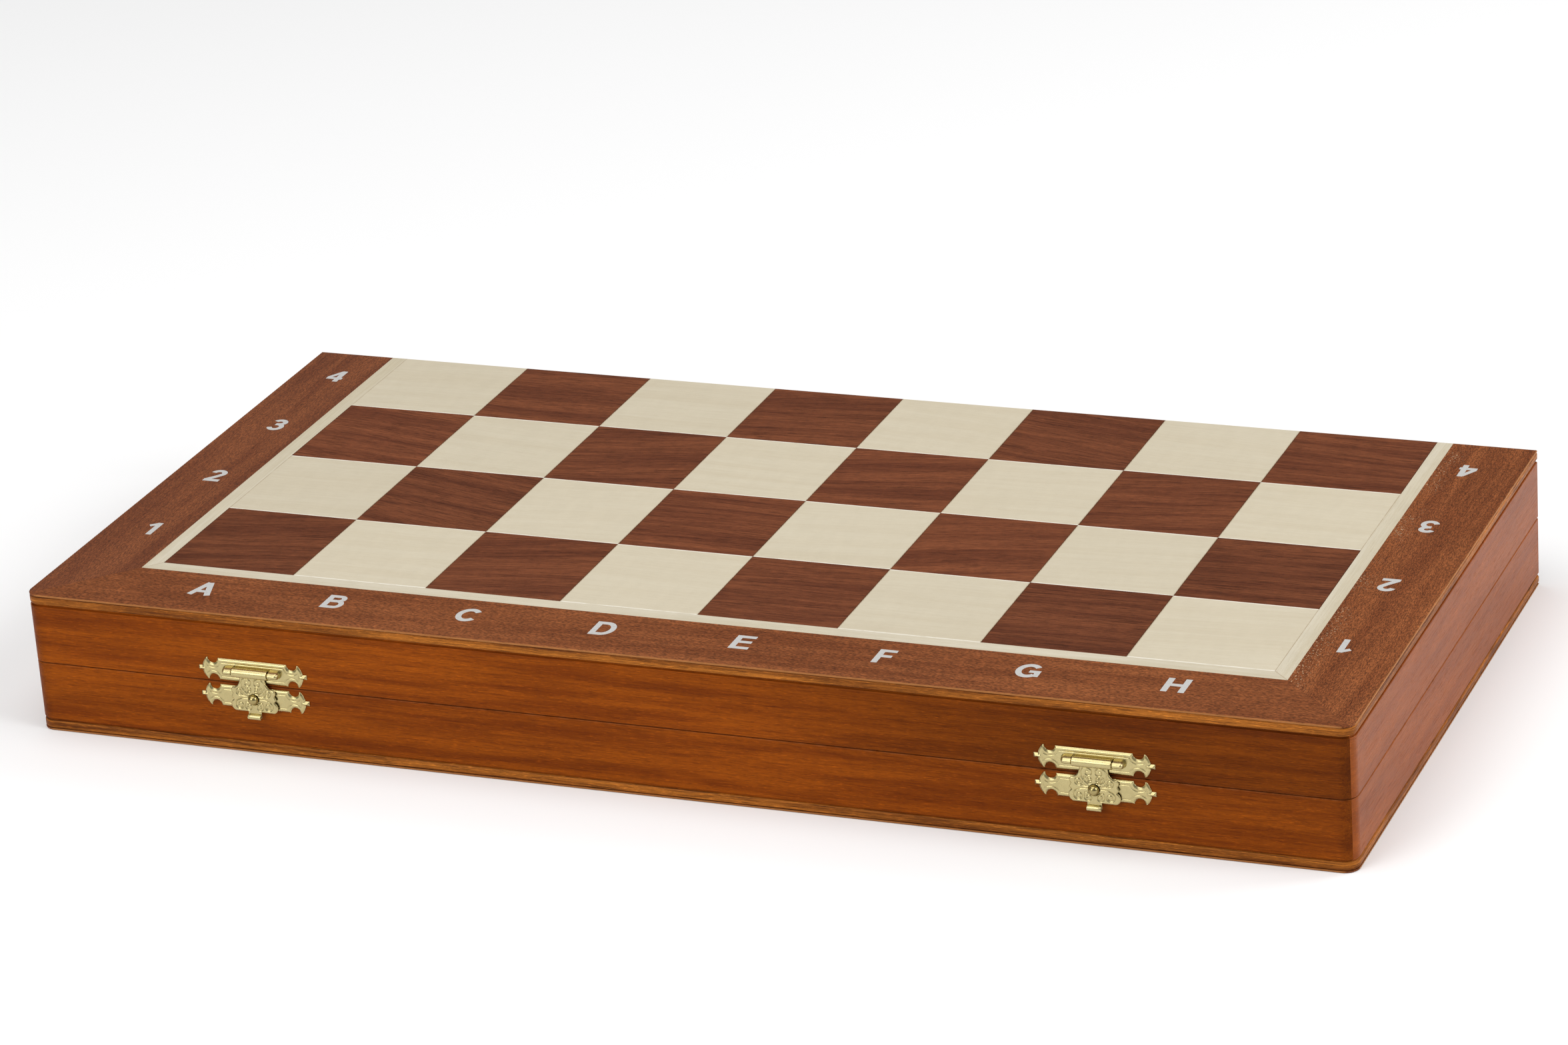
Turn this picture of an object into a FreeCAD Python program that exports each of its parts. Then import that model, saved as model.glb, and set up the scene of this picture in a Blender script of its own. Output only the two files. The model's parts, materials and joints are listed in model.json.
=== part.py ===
import FreeCAD, Part
import math
import os

# A folding chess box with its pieces, closed and lying flat, in millimetres.
# Origin: centre of the underside. +X runs along the files A to H, +Y to the hinge, +Z up.
# Each half is a shallow tray with half of the playing surface on its outer face.

V = FreeCAD.Vector
X_AXIS = V(1, 0, 0)
Y_AXIS = V(0, 1, 0)
Z_AXIS = V(0, 0, 1)

# Playing surface
SQUARE = 50.0
FILES = 8
HALF_RANKS = 4
HINGE_ROW = 48.2
STRING_WIDTH = 5.7
BORDER_WIDTH = 29.9

# Box
HEIGHT = 51.0
RAIL = 9.0
VENEER = 0.6
PANEL = 3.2
SEAM_GAP = 0.3
CORNER_RADIUS = 5.0
BEAD_ROUND = 0.9
GROOVE_HEIGHT = 0.5
GROOVE_DEPTH = 0.6
VENEER_ROUND = 0.25
RIM_ROUND = 0.4
LINING = 1.2
LINING_PLAY = 0.3

MARGIN = BORDER_WIDTH + STRING_WIDTH
LENGTH = FILES * SQUARE + 2 * MARGIN
DEPTH = MARGIN + (HALF_RANKS - 1) * SQUARE + HINGE_ROW
HALF_X = LENGTH / 2
FRONT = -DEPTH / 2
BACK = DEPTH / 2
GRID_X = -FILES * SQUARE / 2
GRID_Y = FRONT + MARGIN
SEAM = HEIGHT / 2
RIM = SEAM + SEAM_GAP / 2
PANEL_TOP = HEIGHT - VENEER
PANEL_BOTTOM = PANEL_TOP - PANEL
INNER_X = HALF_X - RAIL
INNER_Y = BACK - RAIL

# Butt hinges on the back edge
HINGE_X = 150.0
HINGE_Y = BACK + SEAM_GAP / 2
KNUCKLE_RADIUS = 2.4
KNUCKLE_COUNT = 5
KNUCKLE_LENGTH = 7.4
KNUCKLE_GAP = 0.25
HINGE_PIN_RADIUS = 1.0
PIN_PLAY = 0.05
PIN_HEAD_RADIUS = 1.6
PIN_HEAD_LENGTH = 0.6
RELIEF_RADIUS = 2.8
LEAF_THICKNESS = 1.0
LEAF_WIDTH = 8.0
HINGE_LENGTH = KNUCKLE_COUNT * KNUCKLE_LENGTH + (KNUCKLE_COUNT - 1) * KNUCKLE_GAP
SCREW_SPACING = 13.0
SCREW_SETBACK = 5.2
SCREW_HEAD_RADIUS = 2.0
SCREW_HEAD_HEIGHT = 0.9
SCREW_RADIUS = 1.1
SCREW_LENGTH = 8.5
SCREW_SLOT = 0.4

# Latches on the front edge; u along X, v up from the seam, w out from the front face
LATCH_X = 150.0
PLATE_CENTRE = 4.85
PLATE_THICKNESS = 0.7
PLATE_HALF_HEIGHT = 4.0
BITE_U = 14.9
BITE_RADIUS = 1.9
HORN_U = 17.25
SHOULDER_U = 18.9
SHOULDER_V = 1.3
PRONG_HALF_HEIGHT = 0.85
PLATE_HALF_LENGTH = 20.4
PRONG_DEPTH = 4.0
HASP_AXIS_V = 5.1
HASP_AXIS_W = 2.2
HASP_PIN_RADIUS = 0.7
LOOP_RADIUS = 1.45
LOOP_HALF_LENGTH = 10.9
HASP_PIN_HALF_LENGTH = 10.0
BARREL_RADIUS = 1.65
BARREL_HALF_LENGTH = 6.65
WINDOW_PLAY = 0.35
HASP_BACK = 1.15
HASP_THICKNESS = 0.6
HASP_BOTTOM = -9.4
STUD_V = -4.6
STUD_RADIUS = 1.85
STUD_NECK_RADIUS = 1.5
STUD_SHANK_RADIUS = 0.9
STUD_SHANK_DEPTH = 5.0
STUD_TOP = 3.8
HASP_HOLE_RADIUS = 2.35
HASP_HOLE_DROP = 0.15
LIP_HALF_WIDTH = 2.43
LIP_RADIUS = 0.95
LIP_BORE_RADIUS = 0.4
LIP_BOTTOM = -12.0

# Piece tray inside the base
TRAY_TOP = 23.0
TRAY_PLAY = 0.3
SLOT_PLAY = 0.7
BACK_ROW_LENGTH = 91.0
SHORT_ROW_LENGTH = 50.0
FELT = 0.8
FELT_INSET = 1.0

# Chess pieces: height, base radius, top of the base, height where the neck ends, head radius
PIECES = {
    "king": (90.0, 17.5, 13.0, 26.0, 11.2),
    "queen": (79.0, 16.5, 12.5, 24.0, 11.2),
    "bishop": (69.0, 15.5, 12.0, 22.0, 9.4),
    "knight": (63.0, 16.0, 16.5, 18.0, 11.0),
    "rook": (50.0, 15.5, 12.0, 16.0, 12.4),
    "pawn": (47.0, 14.0, 10.5, 20.0, 8.7),
}


def box(x0, x1, y0, y1, z0, z1):
    """An upright block between two opposite corners."""
    return Part.makeBox(x1 - x0, y1 - y0, z1 - z0, V(x0, y0, z0))


def cylinder(radius, start, end):
    """A cylinder between two points of its axis."""
    return Part.makeCylinder(radius, (end - start).Length, start, end - start)


def path(start, steps):
    """Edges from start: a 2-tuple is a straight step, a 4-tuple an arc through its first pair."""
    edges = []
    here = V(start[0], start[1], 0)
    for step in steps:
        there = V(step[-2], step[-1], 0)
        if len(step) == 2:
            edges.append(Part.makeLine(here, there))
        else:
            edges.append(Part.Arc(here, V(step[0], step[1], 0), there).toShape())
        here = there
    return edges


def flat_face(start, steps):
    """A closed flat face in the XY plane from a path that returns to its start."""
    return Part.Face(Part.Wire(path(start, steps)))


def polygon_prism(points, z0, z1):
    """An upright prism on a polygon of (x, y) corners."""
    ring = [V(x, y, z0) for x, y in points]
    return Part.Face(Part.makePolygon(ring + ring[:1])).extrude(V(0, 0, z1 - z0))


def slab(inset, z0, z1):
    """The box outline, rounded at its two front corners, as a slab inset on three sides."""
    x = HALF_X - inset
    y = FRONT + inset
    r = CORNER_RADIUS - inset
    k = r * (1 - math.sqrt(0.5))
    face = flat_face((-x, BACK), [
        (-x, y + r), (-x + k, y + k, -x + r, y),
        (x - r, y), (x - k, y + k, x, y + r),
        (x, BACK), (-x, BACK)])
    face.translate(V(0, 0, z0))
    return face.extrude(V(0, 0, z1 - z0))


def outer_edges(shape, z):
    """The front and side edges of a slab at height z, leaving the plain back edge."""
    tol = 0.01
    chosen = []
    for edge in shape.Edges:
        b = edge.BoundBox
        level = abs(b.ZMin - z) < tol and abs(b.ZMax - z) < tol
        if level and b.YMin < BACK - tol and max(abs(b.XMin), abs(b.XMax)) > INNER_X + RAIL / 2:
            chosen.append(edge)
        elif level and b.YMax < FRONT + RAIL / 2:
            chosen.append(edge)
    return chosen


def mitre_strips(x, y, width, z0, z1, back=None):
    """Strips of one width inside a rectangle, mitred where they meet: front, left, right, back."""
    inner = x - width
    far = BACK if back is None else back - width
    end = BACK if back is None else back
    strips = {
        "front": [(-x, y), (x, y), (inner, y + width), (-inner, y + width)],
        "left": [(-x, y), (-inner, y + width), (-inner, far), (-x, end)],
        "right": [(x, y), (x, end), (inner, far), (inner, y + width)],
    }
    if back is not None:
        strips["back"] = [(-x, back), (-inner, far), (inner, far), (x, back)]
    return {side: polygon_prism(points, z0, z1) for side, points in strips.items()}


def mirrored(shape):
    """The same piece on the other half of the closed box."""
    return shape.mirror(V(0, 0, SEAM), Z_AXIS)


def panel():
    """Plywood panel whose edge is rounded into a bead."""
    body = slab(0, PANEL_BOTTOM, PANEL_TOP)
    edges = outer_edges(body, PANEL_BOTTOM) + outer_edges(body, PANEL_TOP)
    return body.makeFillet(BEAD_ROUND, edges)


def border_veneer():
    """Three mitred strips of border veneer with a softened outer edge."""
    sheet = slab(0, PANEL_TOP, HEIGHT)
    sheet = sheet.makeFillet(VENEER_ROUND, outer_edges(sheet, HEIGHT))
    strips = mitre_strips(HALF_X, FRONT, BORDER_WIDTH, PANEL_TOP, HEIGHT)
    return Part.makeCompound([sheet.common(strip) for strip in strips.values()])


def stringing():
    """Three mitred strips of pale stringing round the squares."""
    x = HALF_X - BORDER_WIDTH
    y = FRONT + BORDER_WIDTH
    return Part.makeCompound(list(mitre_strips(x, y, STRING_WIDTH, PANEL_TOP, HEIGHT).values()))


def squares(parity):
    """Every second square of a half board; the row beside the hinge is a little shallower."""
    tiles = []
    for row in range(HALF_RANKS):
        y0 = GRID_Y + row * SQUARE
        y1 = min(y0 + SQUARE, BACK)
        for file in range(FILES):
            if (file + row) % 2 == parity:
                x0 = GRID_X + file * SQUARE
                tiles.append(box(x0, x0 + SQUARE, y0, y1, PANEL_TOP, HEIGHT))
    return Part.makeCompound(tiles)


def rail_ring():
    """The lid's four rails in one piece, with the groove under the panel and a softened rim."""
    shoulder = PANEL_BOTTOM - GROOVE_HEIGHT
    body = slab(0, RIM, shoulder)
    edges = outer_edges(body, RIM) + outer_edges(body, shoulder)
    body = body.makeFillet(RIM_ROUND, edges)
    ring = body.fuse(slab(GROOVE_DEPTH, shoulder - RIM_ROUND, PANEL_BOTTOM)).removeSplitter()
    return ring.cut(box(-INNER_X, INNER_X, -INNER_Y, INNER_Y, RIM - 1, PANEL_BOTTOM + 1))


def hinge_mortise(x):
    """What a hinge takes out of the lid's back rail: the leaf's recess and the knuckle's relief."""
    half = HINGE_LENGTH / 2
    z1 = RIM + LEAF_THICKNESS
    recess = box(x - half, x + half, HINGE_Y - LEAF_WIDTH, BACK + 1, RIM - 1, z1)
    reach = half + PIN_HEAD_LENGTH + KNUCKLE_GAP
    relief = cylinder(RELIEF_RADIUS, V(x - reach, HINGE_Y, SEAM), V(x + reach, HINGE_Y, SEAM))
    return recess.fuse(relief)


def hinge_knuckles(x, first):
    """Every second knuckle of a hinge, starting with the first or the second."""
    knuckles = []
    for index in range(first, KNUCKLE_COUNT, 2):
        start = x - HINGE_LENGTH / 2 + index * (KNUCKLE_LENGTH + KNUCKLE_GAP)
        knuckles.append((start, start + KNUCKLE_LENGTH))
    return knuckles


def hinge_leaf(x, first):
    """A lid-side leaf: a flat plate with rolled knuckles, cut back round the other leaf's."""
    half = HINGE_LENGTH / 2
    z1 = RIM + LEAF_THICKNESS
    leaf = box(x - half, x + half, HINGE_Y - LEAF_WIDTH, HINGE_Y, RIM, z1)
    leaf = leaf.cut(cylinder(RELIEF_RADIUS, V(x - half - 1, HINGE_Y, SEAM), V(x + half + 1, HINGE_Y, SEAM)))
    for start, end in hinge_knuckles(x, first):
        leaf = leaf.fuse(cylinder(KNUCKLE_RADIUS, V(start, HINGE_Y, SEAM), V(end, HINGE_Y, SEAM)))
        leaf = leaf.fuse(box(start, end, HINGE_Y - RELIEF_RADIUS - 0.5, HINGE_Y, RIM, z1))
    bore = HINGE_PIN_RADIUS + PIN_PLAY
    leaf = leaf.cut(cylinder(bore, V(x - half - 1, HINGE_Y, SEAM), V(x + half + 1, HINGE_Y, SEAM)))
    for offset in (-SCREW_SPACING, 0, SCREW_SPACING):
        leaf = leaf.cut(screw_blank(x + offset))
    return leaf.removeSplitter()


def hinge_pin(x):
    """The hinge pin with a peened head at each end."""
    half = HINGE_LENGTH / 2
    pin = cylinder(HINGE_PIN_RADIUS, V(x - half, HINGE_Y, SEAM), V(x + half, HINGE_Y, SEAM))
    for side in (-1, 1):
        start = V(x + side * half, HINGE_Y, SEAM)
        pin = pin.fuse(cylinder(PIN_HEAD_RADIUS, start, start + V(side * PIN_HEAD_LENGTH, 0, 0)))
    return pin.removeSplitter()


def screw_blank(x):
    """The solid of one countersunk screw, head flush with the lid leaf and point upwards."""
    y = HINGE_Y - SCREW_SETBACK
    head = Part.makeCone(SCREW_HEAD_RADIUS, SCREW_RADIUS, SCREW_HEAD_HEIGHT, V(x, y, RIM))
    shank_top = RIM + SCREW_LENGTH - SCREW_RADIUS
    shank = cylinder(SCREW_RADIUS, V(x, y, RIM + SCREW_HEAD_HEIGHT), V(x, y, shank_top))
    point = Part.makeCone(SCREW_RADIUS, 0, SCREW_RADIUS, V(x, y, shank_top))
    return head.fuse([shank, point])


def screw(x):
    """One screw with a straight slot across its head."""
    y = HINGE_Y - SCREW_SETBACK
    half = SCREW_SLOT / 2
    slot = box(x - SCREW_HEAD_RADIUS, x + SCREW_HEAD_RADIUS, y - half, y + half, RIM - 1, RIM + SCREW_SLOT)
    return screw_blank(x).cut(slot)


def screw_places():
    """The x of every screw in one half."""
    offsets = (-SCREW_SPACING, 0, SCREW_SPACING)
    return [side * HINGE_X + offset for side in (-1, 1) for offset in offsets]


def lift(face, x, w0, w1):
    """Stand a flat (u, v) face up on the front of the box at x and thicken it from w0 out to w1."""
    face.rotate(V(0, 0, 0), X_AXIS, 90)
    face.translate(V(x, FRONT - w0, SEAM))
    return face.extrude(V(0, w0 - w1, 0))


def latch_point(x, u, v, w):
    """A point in the box frame from latch coordinates."""
    return V(x + u, FRONT - w, SEAM + v)


def plate_outline(v0):
    """A latch plate: straight long edges, round bites, horns, and shoulders down to the prongs."""
    bite_in = BITE_U - BITE_RADIUS
    bite_out = BITE_U + BITE_RADIUS
    h = PLATE_HALF_HEIGHT
    horn_bulge = 0.12
    right = [
        (bite_in, h), (BITE_U, h - BITE_RADIUS, bite_out, h), (HORN_U, h),
        ((HORN_U + SHOULDER_U) / 2 + horn_bulge, (h + SHOULDER_V) / 2 + horn_bulge, SHOULDER_U, SHOULDER_V),
        (SHOULDER_U, PRONG_HALF_HEIGHT), (PLATE_HALF_LENGTH, PRONG_HALF_HEIGHT),
        (PLATE_HALF_LENGTH, 0)]
    half = Part.Wire(path((0, h), right))
    left = half.mirror(V(0, 0, 0), X_AXIS)
    upper = Part.Wire(Part.__sortEdges__(half.Edges + left.Edges))
    lower = upper.mirror(V(0, 0, 0), Y_AXIS)
    face = Part.Face(Part.Wire(Part.__sortEdges__(upper.Edges + lower.Edges)))
    face.translate(V(0, v0, 0))
    return face


def prongs(x, v0):
    """The two ends of a plate folded back into the wood."""
    ends = []
    for side in (-1, 1):
        inner = side * (PLATE_HALF_LENGTH - PLATE_THICKNESS)
        outer = side * PLATE_HALF_LENGTH
        low = latch_point(x, min(inner, outer), v0 - PRONG_HALF_HEIGHT, PLATE_THICKNESS / 2)
        high = latch_point(x, max(inner, outer), v0 + PRONG_HALF_HEIGHT, -PRONG_DEPTH)
        ends.append(box(low.x, high.x, low.y, high.y, low.z, high.z))
    return ends


def base_plate(x):
    """The lower latch plate, flat, with a hole for the stud's shank."""
    plate = lift(plate_outline(-PLATE_CENTRE), x, 0, PLATE_THICKNESS)
    plate = plate.fuse(prongs(x, -PLATE_CENTRE))
    shank = cylinder(STUD_SHANK_RADIUS, latch_point(x, 0, STUD_V, 2), latch_point(x, 0, STUD_V, -1))
    return plate.cut(shank).removeSplitter()


def lid_plate(x):
    """The upper latch plate, with two pressed loops that hold the hasp's pin."""
    plate = lift(plate_outline(PLATE_CENTRE), x, 0, PLATE_THICKNESS)
    plate = plate.fuse(prongs(x, PLATE_CENTRE))
    reach = LOOP_HALF_LENGTH - LOOP_RADIUS
    ends = [latch_point(x, side * reach, HASP_AXIS_V, HASP_AXIS_W) for side in (-1, 1)]
    pill = cylinder(LOOP_RADIUS, ends[0], ends[1])
    foot = box(ends[0].x, ends[1].x, ends[0].y, FRONT, ends[0].z - LOOP_RADIUS, ends[0].z + LOOP_RADIUS)
    rounds = [Part.makeSphere(LOOP_RADIUS, end) for end in ends]
    feet = [cylinder(LOOP_RADIUS, end, V(end.x, FRONT, end.z)) for end in ends]
    plate = plate.fuse([pill, foot] + rounds + feet)
    bore = HASP_PIN_RADIUS + PIN_PLAY
    start = latch_point(x, -HASP_PIN_HALF_LENGTH - PIN_PLAY, HASP_AXIS_V, HASP_AXIS_W)
    end = latch_point(x, HASP_PIN_HALF_LENGTH + PIN_PLAY, HASP_AXIS_V, HASP_AXIS_W)
    half = BARREL_HALF_LENGTH + WINDOW_PLAY
    tall = BARREL_RADIUS + WINDOW_PLAY
    low = latch_point(x, -half, HASP_AXIS_V - tall, HASP_AXIS_W + 2)
    high = latch_point(x, half, HASP_AXIS_V + tall, -1)
    plate = plate.cut([cylinder(bore, start, end), box(low.x, high.x, low.y, high.y, low.z, high.z)])
    return plate.removeSplitter()


def hasp_pin(x):
    """The short pin that the hasp turns on."""
    start = latch_point(x, -HASP_PIN_HALF_LENGTH, HASP_AXIS_V, HASP_AXIS_W)
    end = latch_point(x, HASP_PIN_HALF_LENGTH, HASP_AXIS_V, HASP_AXIS_W)
    return cylinder(HASP_PIN_RADIUS, start, end)


def hasp_outline():
    """The hasp's shaped flap: a neck flaring to shoulders, an ear each side and a round lobe."""
    top = HASP_AXIS_V
    right = path((0, top), [
        (5.9, top), (4.9, 3.6, 4.8, 2.2), (5.5, 0.4, 7.9, -0.9),
        (8.3, -1.9, 7.8, -3.0), (8.5, -4.4), (7.6, -5.3),
        (8.8, -7.4, 7.3, HASP_BOTTOM), (0, HASP_BOTTOM)])
    half = Part.Wire(right)
    left = half.mirror(V(0, 0, 0), X_AXIS)
    return Part.Face(Part.Wire(Part.__sortEdges__(half.Edges + left.Edges)))


def hasp(x):
    """The swinging hasp: rolled barrel, shaped flap with a stud hole, and a curled finger lip."""
    front = HASP_BACK + HASP_THICKNESS
    flap = lift(hasp_outline(), x, HASP_BACK, front)
    ends = [latch_point(x, side * BARREL_HALF_LENGTH, HASP_AXIS_V, HASP_AXIS_W) for side in (-1, 1)]
    lip_low = latch_point(x, -LIP_HALF_WIDTH, LIP_BOTTOM + LIP_RADIUS, front)
    lip_high = latch_point(x, LIP_HALF_WIDTH, HASP_BOTTOM + 1, HASP_BACK)
    lip = box(lip_low.x, lip_high.x, lip_low.y, lip_high.y, lip_low.z, lip_high.z)
    curl_w = HASP_BACK + LIP_RADIUS
    curl = [latch_point(x, side * LIP_HALF_WIDTH, LIP_BOTTOM + LIP_RADIUS, curl_w) for side in (-1, 1)]
    body = flap.fuse([cylinder(BARREL_RADIUS, ends[0], ends[1]), lip, cylinder(LIP_RADIUS, curl[0], curl[1])])
    hole_v = STUD_V - HASP_HOLE_DROP
    hole = cylinder(HASP_HOLE_RADIUS, latch_point(x, 0, hole_v, 5), latch_point(x, 0, hole_v, 0))
    cuts = [cylinder(HASP_PIN_RADIUS + PIN_PLAY, ends[0], ends[1]), hole]
    cuts.append(cylinder(LIP_BORE_RADIUS, curl[0], curl[1]))
    return body.cut(cuts).removeSplitter()


def turned(profile):
    """Turn a profile of (radius, height) steps, which starts and ends on the axis, about +Z."""
    face = flat_face(profile[0], profile[1:] + [profile[0]])
    face.rotate(V(0, 0, 0), X_AXIS, 90)
    return face.revolve(V(0, 0, 0), Z_AXIS, 360)


def stud(x):
    """A domed stud on a shank driven into the wood through the lower plate."""
    shoulder = STUD_TOP - STUD_RADIUS
    slant = STUD_RADIUS * math.sqrt(0.5)
    shape = turned([
        (0, -STUD_SHANK_DEPTH), (STUD_SHANK_RADIUS, -STUD_SHANK_DEPTH),
        (STUD_SHANK_RADIUS, PLATE_THICKNESS), (STUD_NECK_RADIUS, PLATE_THICKNESS),
        (STUD_NECK_RADIUS, shoulder), (STUD_RADIUS, shoulder),
        (slant, shoulder + slant, 0, STUD_TOP)])
    shape.rotate(V(0, 0, 0), X_AXIS, 90)
    shape.translate(latch_point(x, 0, STUD_V, 0))
    return shape


def base_steps(kind):
    """The turned foot that every piece shares: a plinth, a rounded bead and a quirk above it."""
    radius = PIECES[kind][1]
    return [
        (0, FELT), (radius, FELT), (radius, FELT + 2.6),
        (radius - 0.1, FELT + 4.8, radius - 2.2, FELT + 6.0), (radius - 3.0, FELT + 6.6)]


def king():
    """King: slender stem, double collar, tapered crown and a cross."""
    body = turned(base_steps("king") + [
        (9.2, 14.5, 6.6, 26.0), (5.9, 38.0, 6.4, 50.0), (10.6, 51.4), (10.9, 52.6, 9.4, 53.8),
        (7.4, 54.6), (9.0, 56.0, 7.6, 57.4), (6.6, 58.6), (8.0, 66.0, 10.9, 75.2),
        (10.2, 76.6), (7.4, 79.6, 2.2, 81.0), (1.6, 82.0), (0, 82.0)])
    upright = box(-1.5, 1.5, -1.3, 1.3, 81.5, PIECES["king"][0])
    arms = box(-3.8, 3.8, -1.3, 1.3, 84.2, 87.2)
    return body.fuse([upright, arms]).removeSplitter()


def queen():
    """Queen: collar, flared crown with a scalloped rim, and a ball."""
    height = PIECES["queen"][0]
    body = turned(base_steps("queen") + [
        (8.8, 13.6, 6.2, 24.0), (5.5, 34.0, 6.0, 45.0), (10.0, 46.2), (10.3, 47.4, 8.8, 48.6),
        (7.0, 49.4), (8.4, 50.6, 7.0, 51.8), (6.2, 53.0), (7.2, 62.0, 11.0, 71.4),
        (9.6, 72.0), (8.2, 71.0), (5.4, 73.6, 2.0, 74.2), (0, 74.2)])
    points = 9
    notch_radius = 2.1
    notches = []
    for index in range(points):
        angle = 2 * math.pi * index / points
        out = V(math.cos(angle), math.sin(angle), 0)
        notches.append(cylinder(notch_radius, out * 7.6 + V(0, 0, 73.0), out * 14 + V(0, 0, 73.0)))
    ball = Part.makeSphere(3.0, V(0, 0, height - 3.0))
    return body.cut(notches).fuse(ball).removeSplitter()


def bishop():
    """Bishop: collar, pointed mitre with a slanting cut, and a small ball."""
    height = PIECES["bishop"][0]
    body = turned(base_steps("bishop") + [
        (8.0, 12.8, 5.6, 22.0), (5.0, 30.0, 5.4, 38.0), (9.0, 39.2), (9.2, 40.3, 8.0, 41.4),
        (6.0, 42.2), (7.4, 43.4, 5.9, 44.6), (9.3, 52.0, 2.0, 64.6), (0, 64.6)])
    cut = box(0.0, 14.0, -12.0, 12.0, -0.7, 0.7)
    cut.rotate(V(0, 0, 0), Y_AXIS, -52)
    cut.translate(V(1.6, 0, 54.0))
    ball = Part.makeSphere(2.6, V(0, 0, height - 2.6))
    return body.fuse(ball).removeSplitter().cut(cut)


def rook():
    """Rook: stout stem and a cup-topped tower cut into battlements."""
    height = PIECES["rook"][0]
    body = turned(base_steps("rook") + [
        (9.6, 12.0, 8.4, 20.0), (7.9, 27.0, 8.4, 33.0), (11.0, 34.2), (11.2, 35.2, 9.8, 36.2),
        (9.4, 37.4), (12.0, 40.0), (12.3, height), (8.6, height), (8.2, 45.0), (0, 45.0)])
    battlements = 6
    half_gap = 1.5
    slots = []
    for index in range(battlements // 2):
        slot = box(-15, 15, -half_gap, half_gap, 45.4, height + 1)
        slot.rotate(V(0, 0, 0), Z_AXIS, 180 * index / (battlements // 2))
        slots.append(slot)
    return body.cut(slots)


def pawn():
    """Pawn: short stem, flat collar and a round head."""
    height = PIECES["pawn"][0]
    head_radius = 7.6
    body = turned(base_steps("pawn") + [
        (7.0, 12.0, 4.8, 20.0), (4.3, 26.0, 4.8, 31.4), (8.4, 32.6), (8.5, 33.6, 7.4, 34.4),
        (4.0, 35.4), (0, 35.4)])
    return body.fuse(Part.makeSphere(head_radius, V(0, 0, height - head_radius))).removeSplitter()


def knight():
    """Knight: the turned foot and a horse's head facing +X, thinner towards the ears."""
    height = PIECES["knight"][0]
    foot = turned(base_steps("knight") + [(11.6, 11.0), (11.4, 13.4, 10.4, 14.4), (0, 14.4)])
    head = flat_face((-9.8, 13.6), [
        (-13.2, 34.0, -6.2, 52.6), (-2.2, height), (0.6, 57.4), (4.4, 54.6), (12.2, 45.2),
        (15.2, 41.4, 12.4, 38.2), (8.0, 39.2), (4.4, 38.6, 4.2, 35.6), (9.4, 27.0, 9.8, 13.6),
        (-9.8, 13.6)])
    head.rotate(V(0, 0, 0), X_AXIS, 90)
    head.translate(V(0, 12, 0))
    blank = head.extrude(V(0, -24, 0))
    taper = flat_face((-9.0, 13.0), [
        (-8.0, 30.0, -5.4, height + 1), (5.4, height + 1), (8.0, 30.0, 9.0, 13.0), (-9.0, 13.0)])
    taper.rotate(V(0, 0, 0), X_AXIS, 90)
    taper.rotate(V(0, 0, 0), Z_AXIS, 90)
    taper.translate(V(-20, 0, 0))
    return foot.fuse(blank.common(taper.extrude(V(40, 0, 0)))).removeSplitter()


def felt_pad(kind):
    """The felt disc under a piece."""
    return cylinder(PIECES[kind][1] - FELT_INSET, V(0, 0, 0), V(0, 0, FELT))


def slot_blank(kind):
    """The room that a lying piece needs in the tray, as a plain stepped and tapered body."""
    height, foot, foot_top, neck_end, head = PIECES[kind]
    play = SLOT_PLAY
    blank = turned([
        (0, -play), (foot + play, -play), (foot + play, foot_top - 3), (head + play, neck_end),
        (head + play, height + play), (0, height + play)])
    if kind == "knight":
        blank = blank.fuse(box(-13.6, 15.4, -9.6, 9.6, foot_top - 3, height + play))
    return blank


def laid(shape, place):
    """Lay an upright shape on its side in the tray, its head to +Y or -Y."""
    x, y, turn = place
    shape = shape.copy()
    shape.rotate(V(0, 0, 0), X_AXIS, -90 * turn)
    shape.translate(V(x, y, TRAY_TOP))
    return shape


def row_places(kinds, y_front, row_length):
    """Places of a row of lying pieces, evenly gapped, alternately head up and head down."""
    widths = [2 * PIECES[kind][1] for kind in kinds]
    gap = (2 * INNER_X - sum(widths)) / (len(kinds) + 1)
    x = -INNER_X
    places = []
    for index, kind in enumerate(kinds):
        x += gap + widths[index] / 2
        turn = 1 if index % 2 == 0 else -1
        spare = (row_length - PIECES[kind][0]) / 2
        y = y_front + spare if turn == 1 else y_front + row_length - spare
        places.append((kind, (x, y, turn)))
        x += widths[index] / 2
    return places


def set_places():
    """Where each colour's pieces lie: officers along the back, each colour's pawns and rooks in a row."""
    officers = ["bishop", "knight", "king", "queen", "knight", "bishop"]
    pawns = ["rook"] + ["pawn"] * 8 + ["rook"]
    spare = 2 * INNER_Y - BACK_ROW_LENGTH - 2 * SHORT_ROW_LENGTH
    gap = spare / 4
    first = -INNER_Y + gap
    second = first + SHORT_ROW_LENGTH + gap
    third = second + SHORT_ROW_LENGTH + gap
    back = row_places(officers + officers[::-1], third, BACK_ROW_LENGTH)
    return {
        "white": back[:6] + row_places(pawns, first, SHORT_ROW_LENGTH),
        "black": back[6:] + row_places(pawns, second, SHORT_ROW_LENGTH),
    }


def tray(places):
    """The padded insert that fills the base, with a slot for each piece."""
    x = INNER_X - TRAY_PLAY
    y = INNER_Y - TRAY_PLAY
    block = box(-x, x, -y, y, VENEER + PANEL, TRAY_TOP)
    blanks = {kind: slot_blank(kind) for kind in PIECES}
    slots = [laid(blanks[kind], place) for colour in places.values() for kind, place in colour]
    return block.cut(slots)


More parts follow.
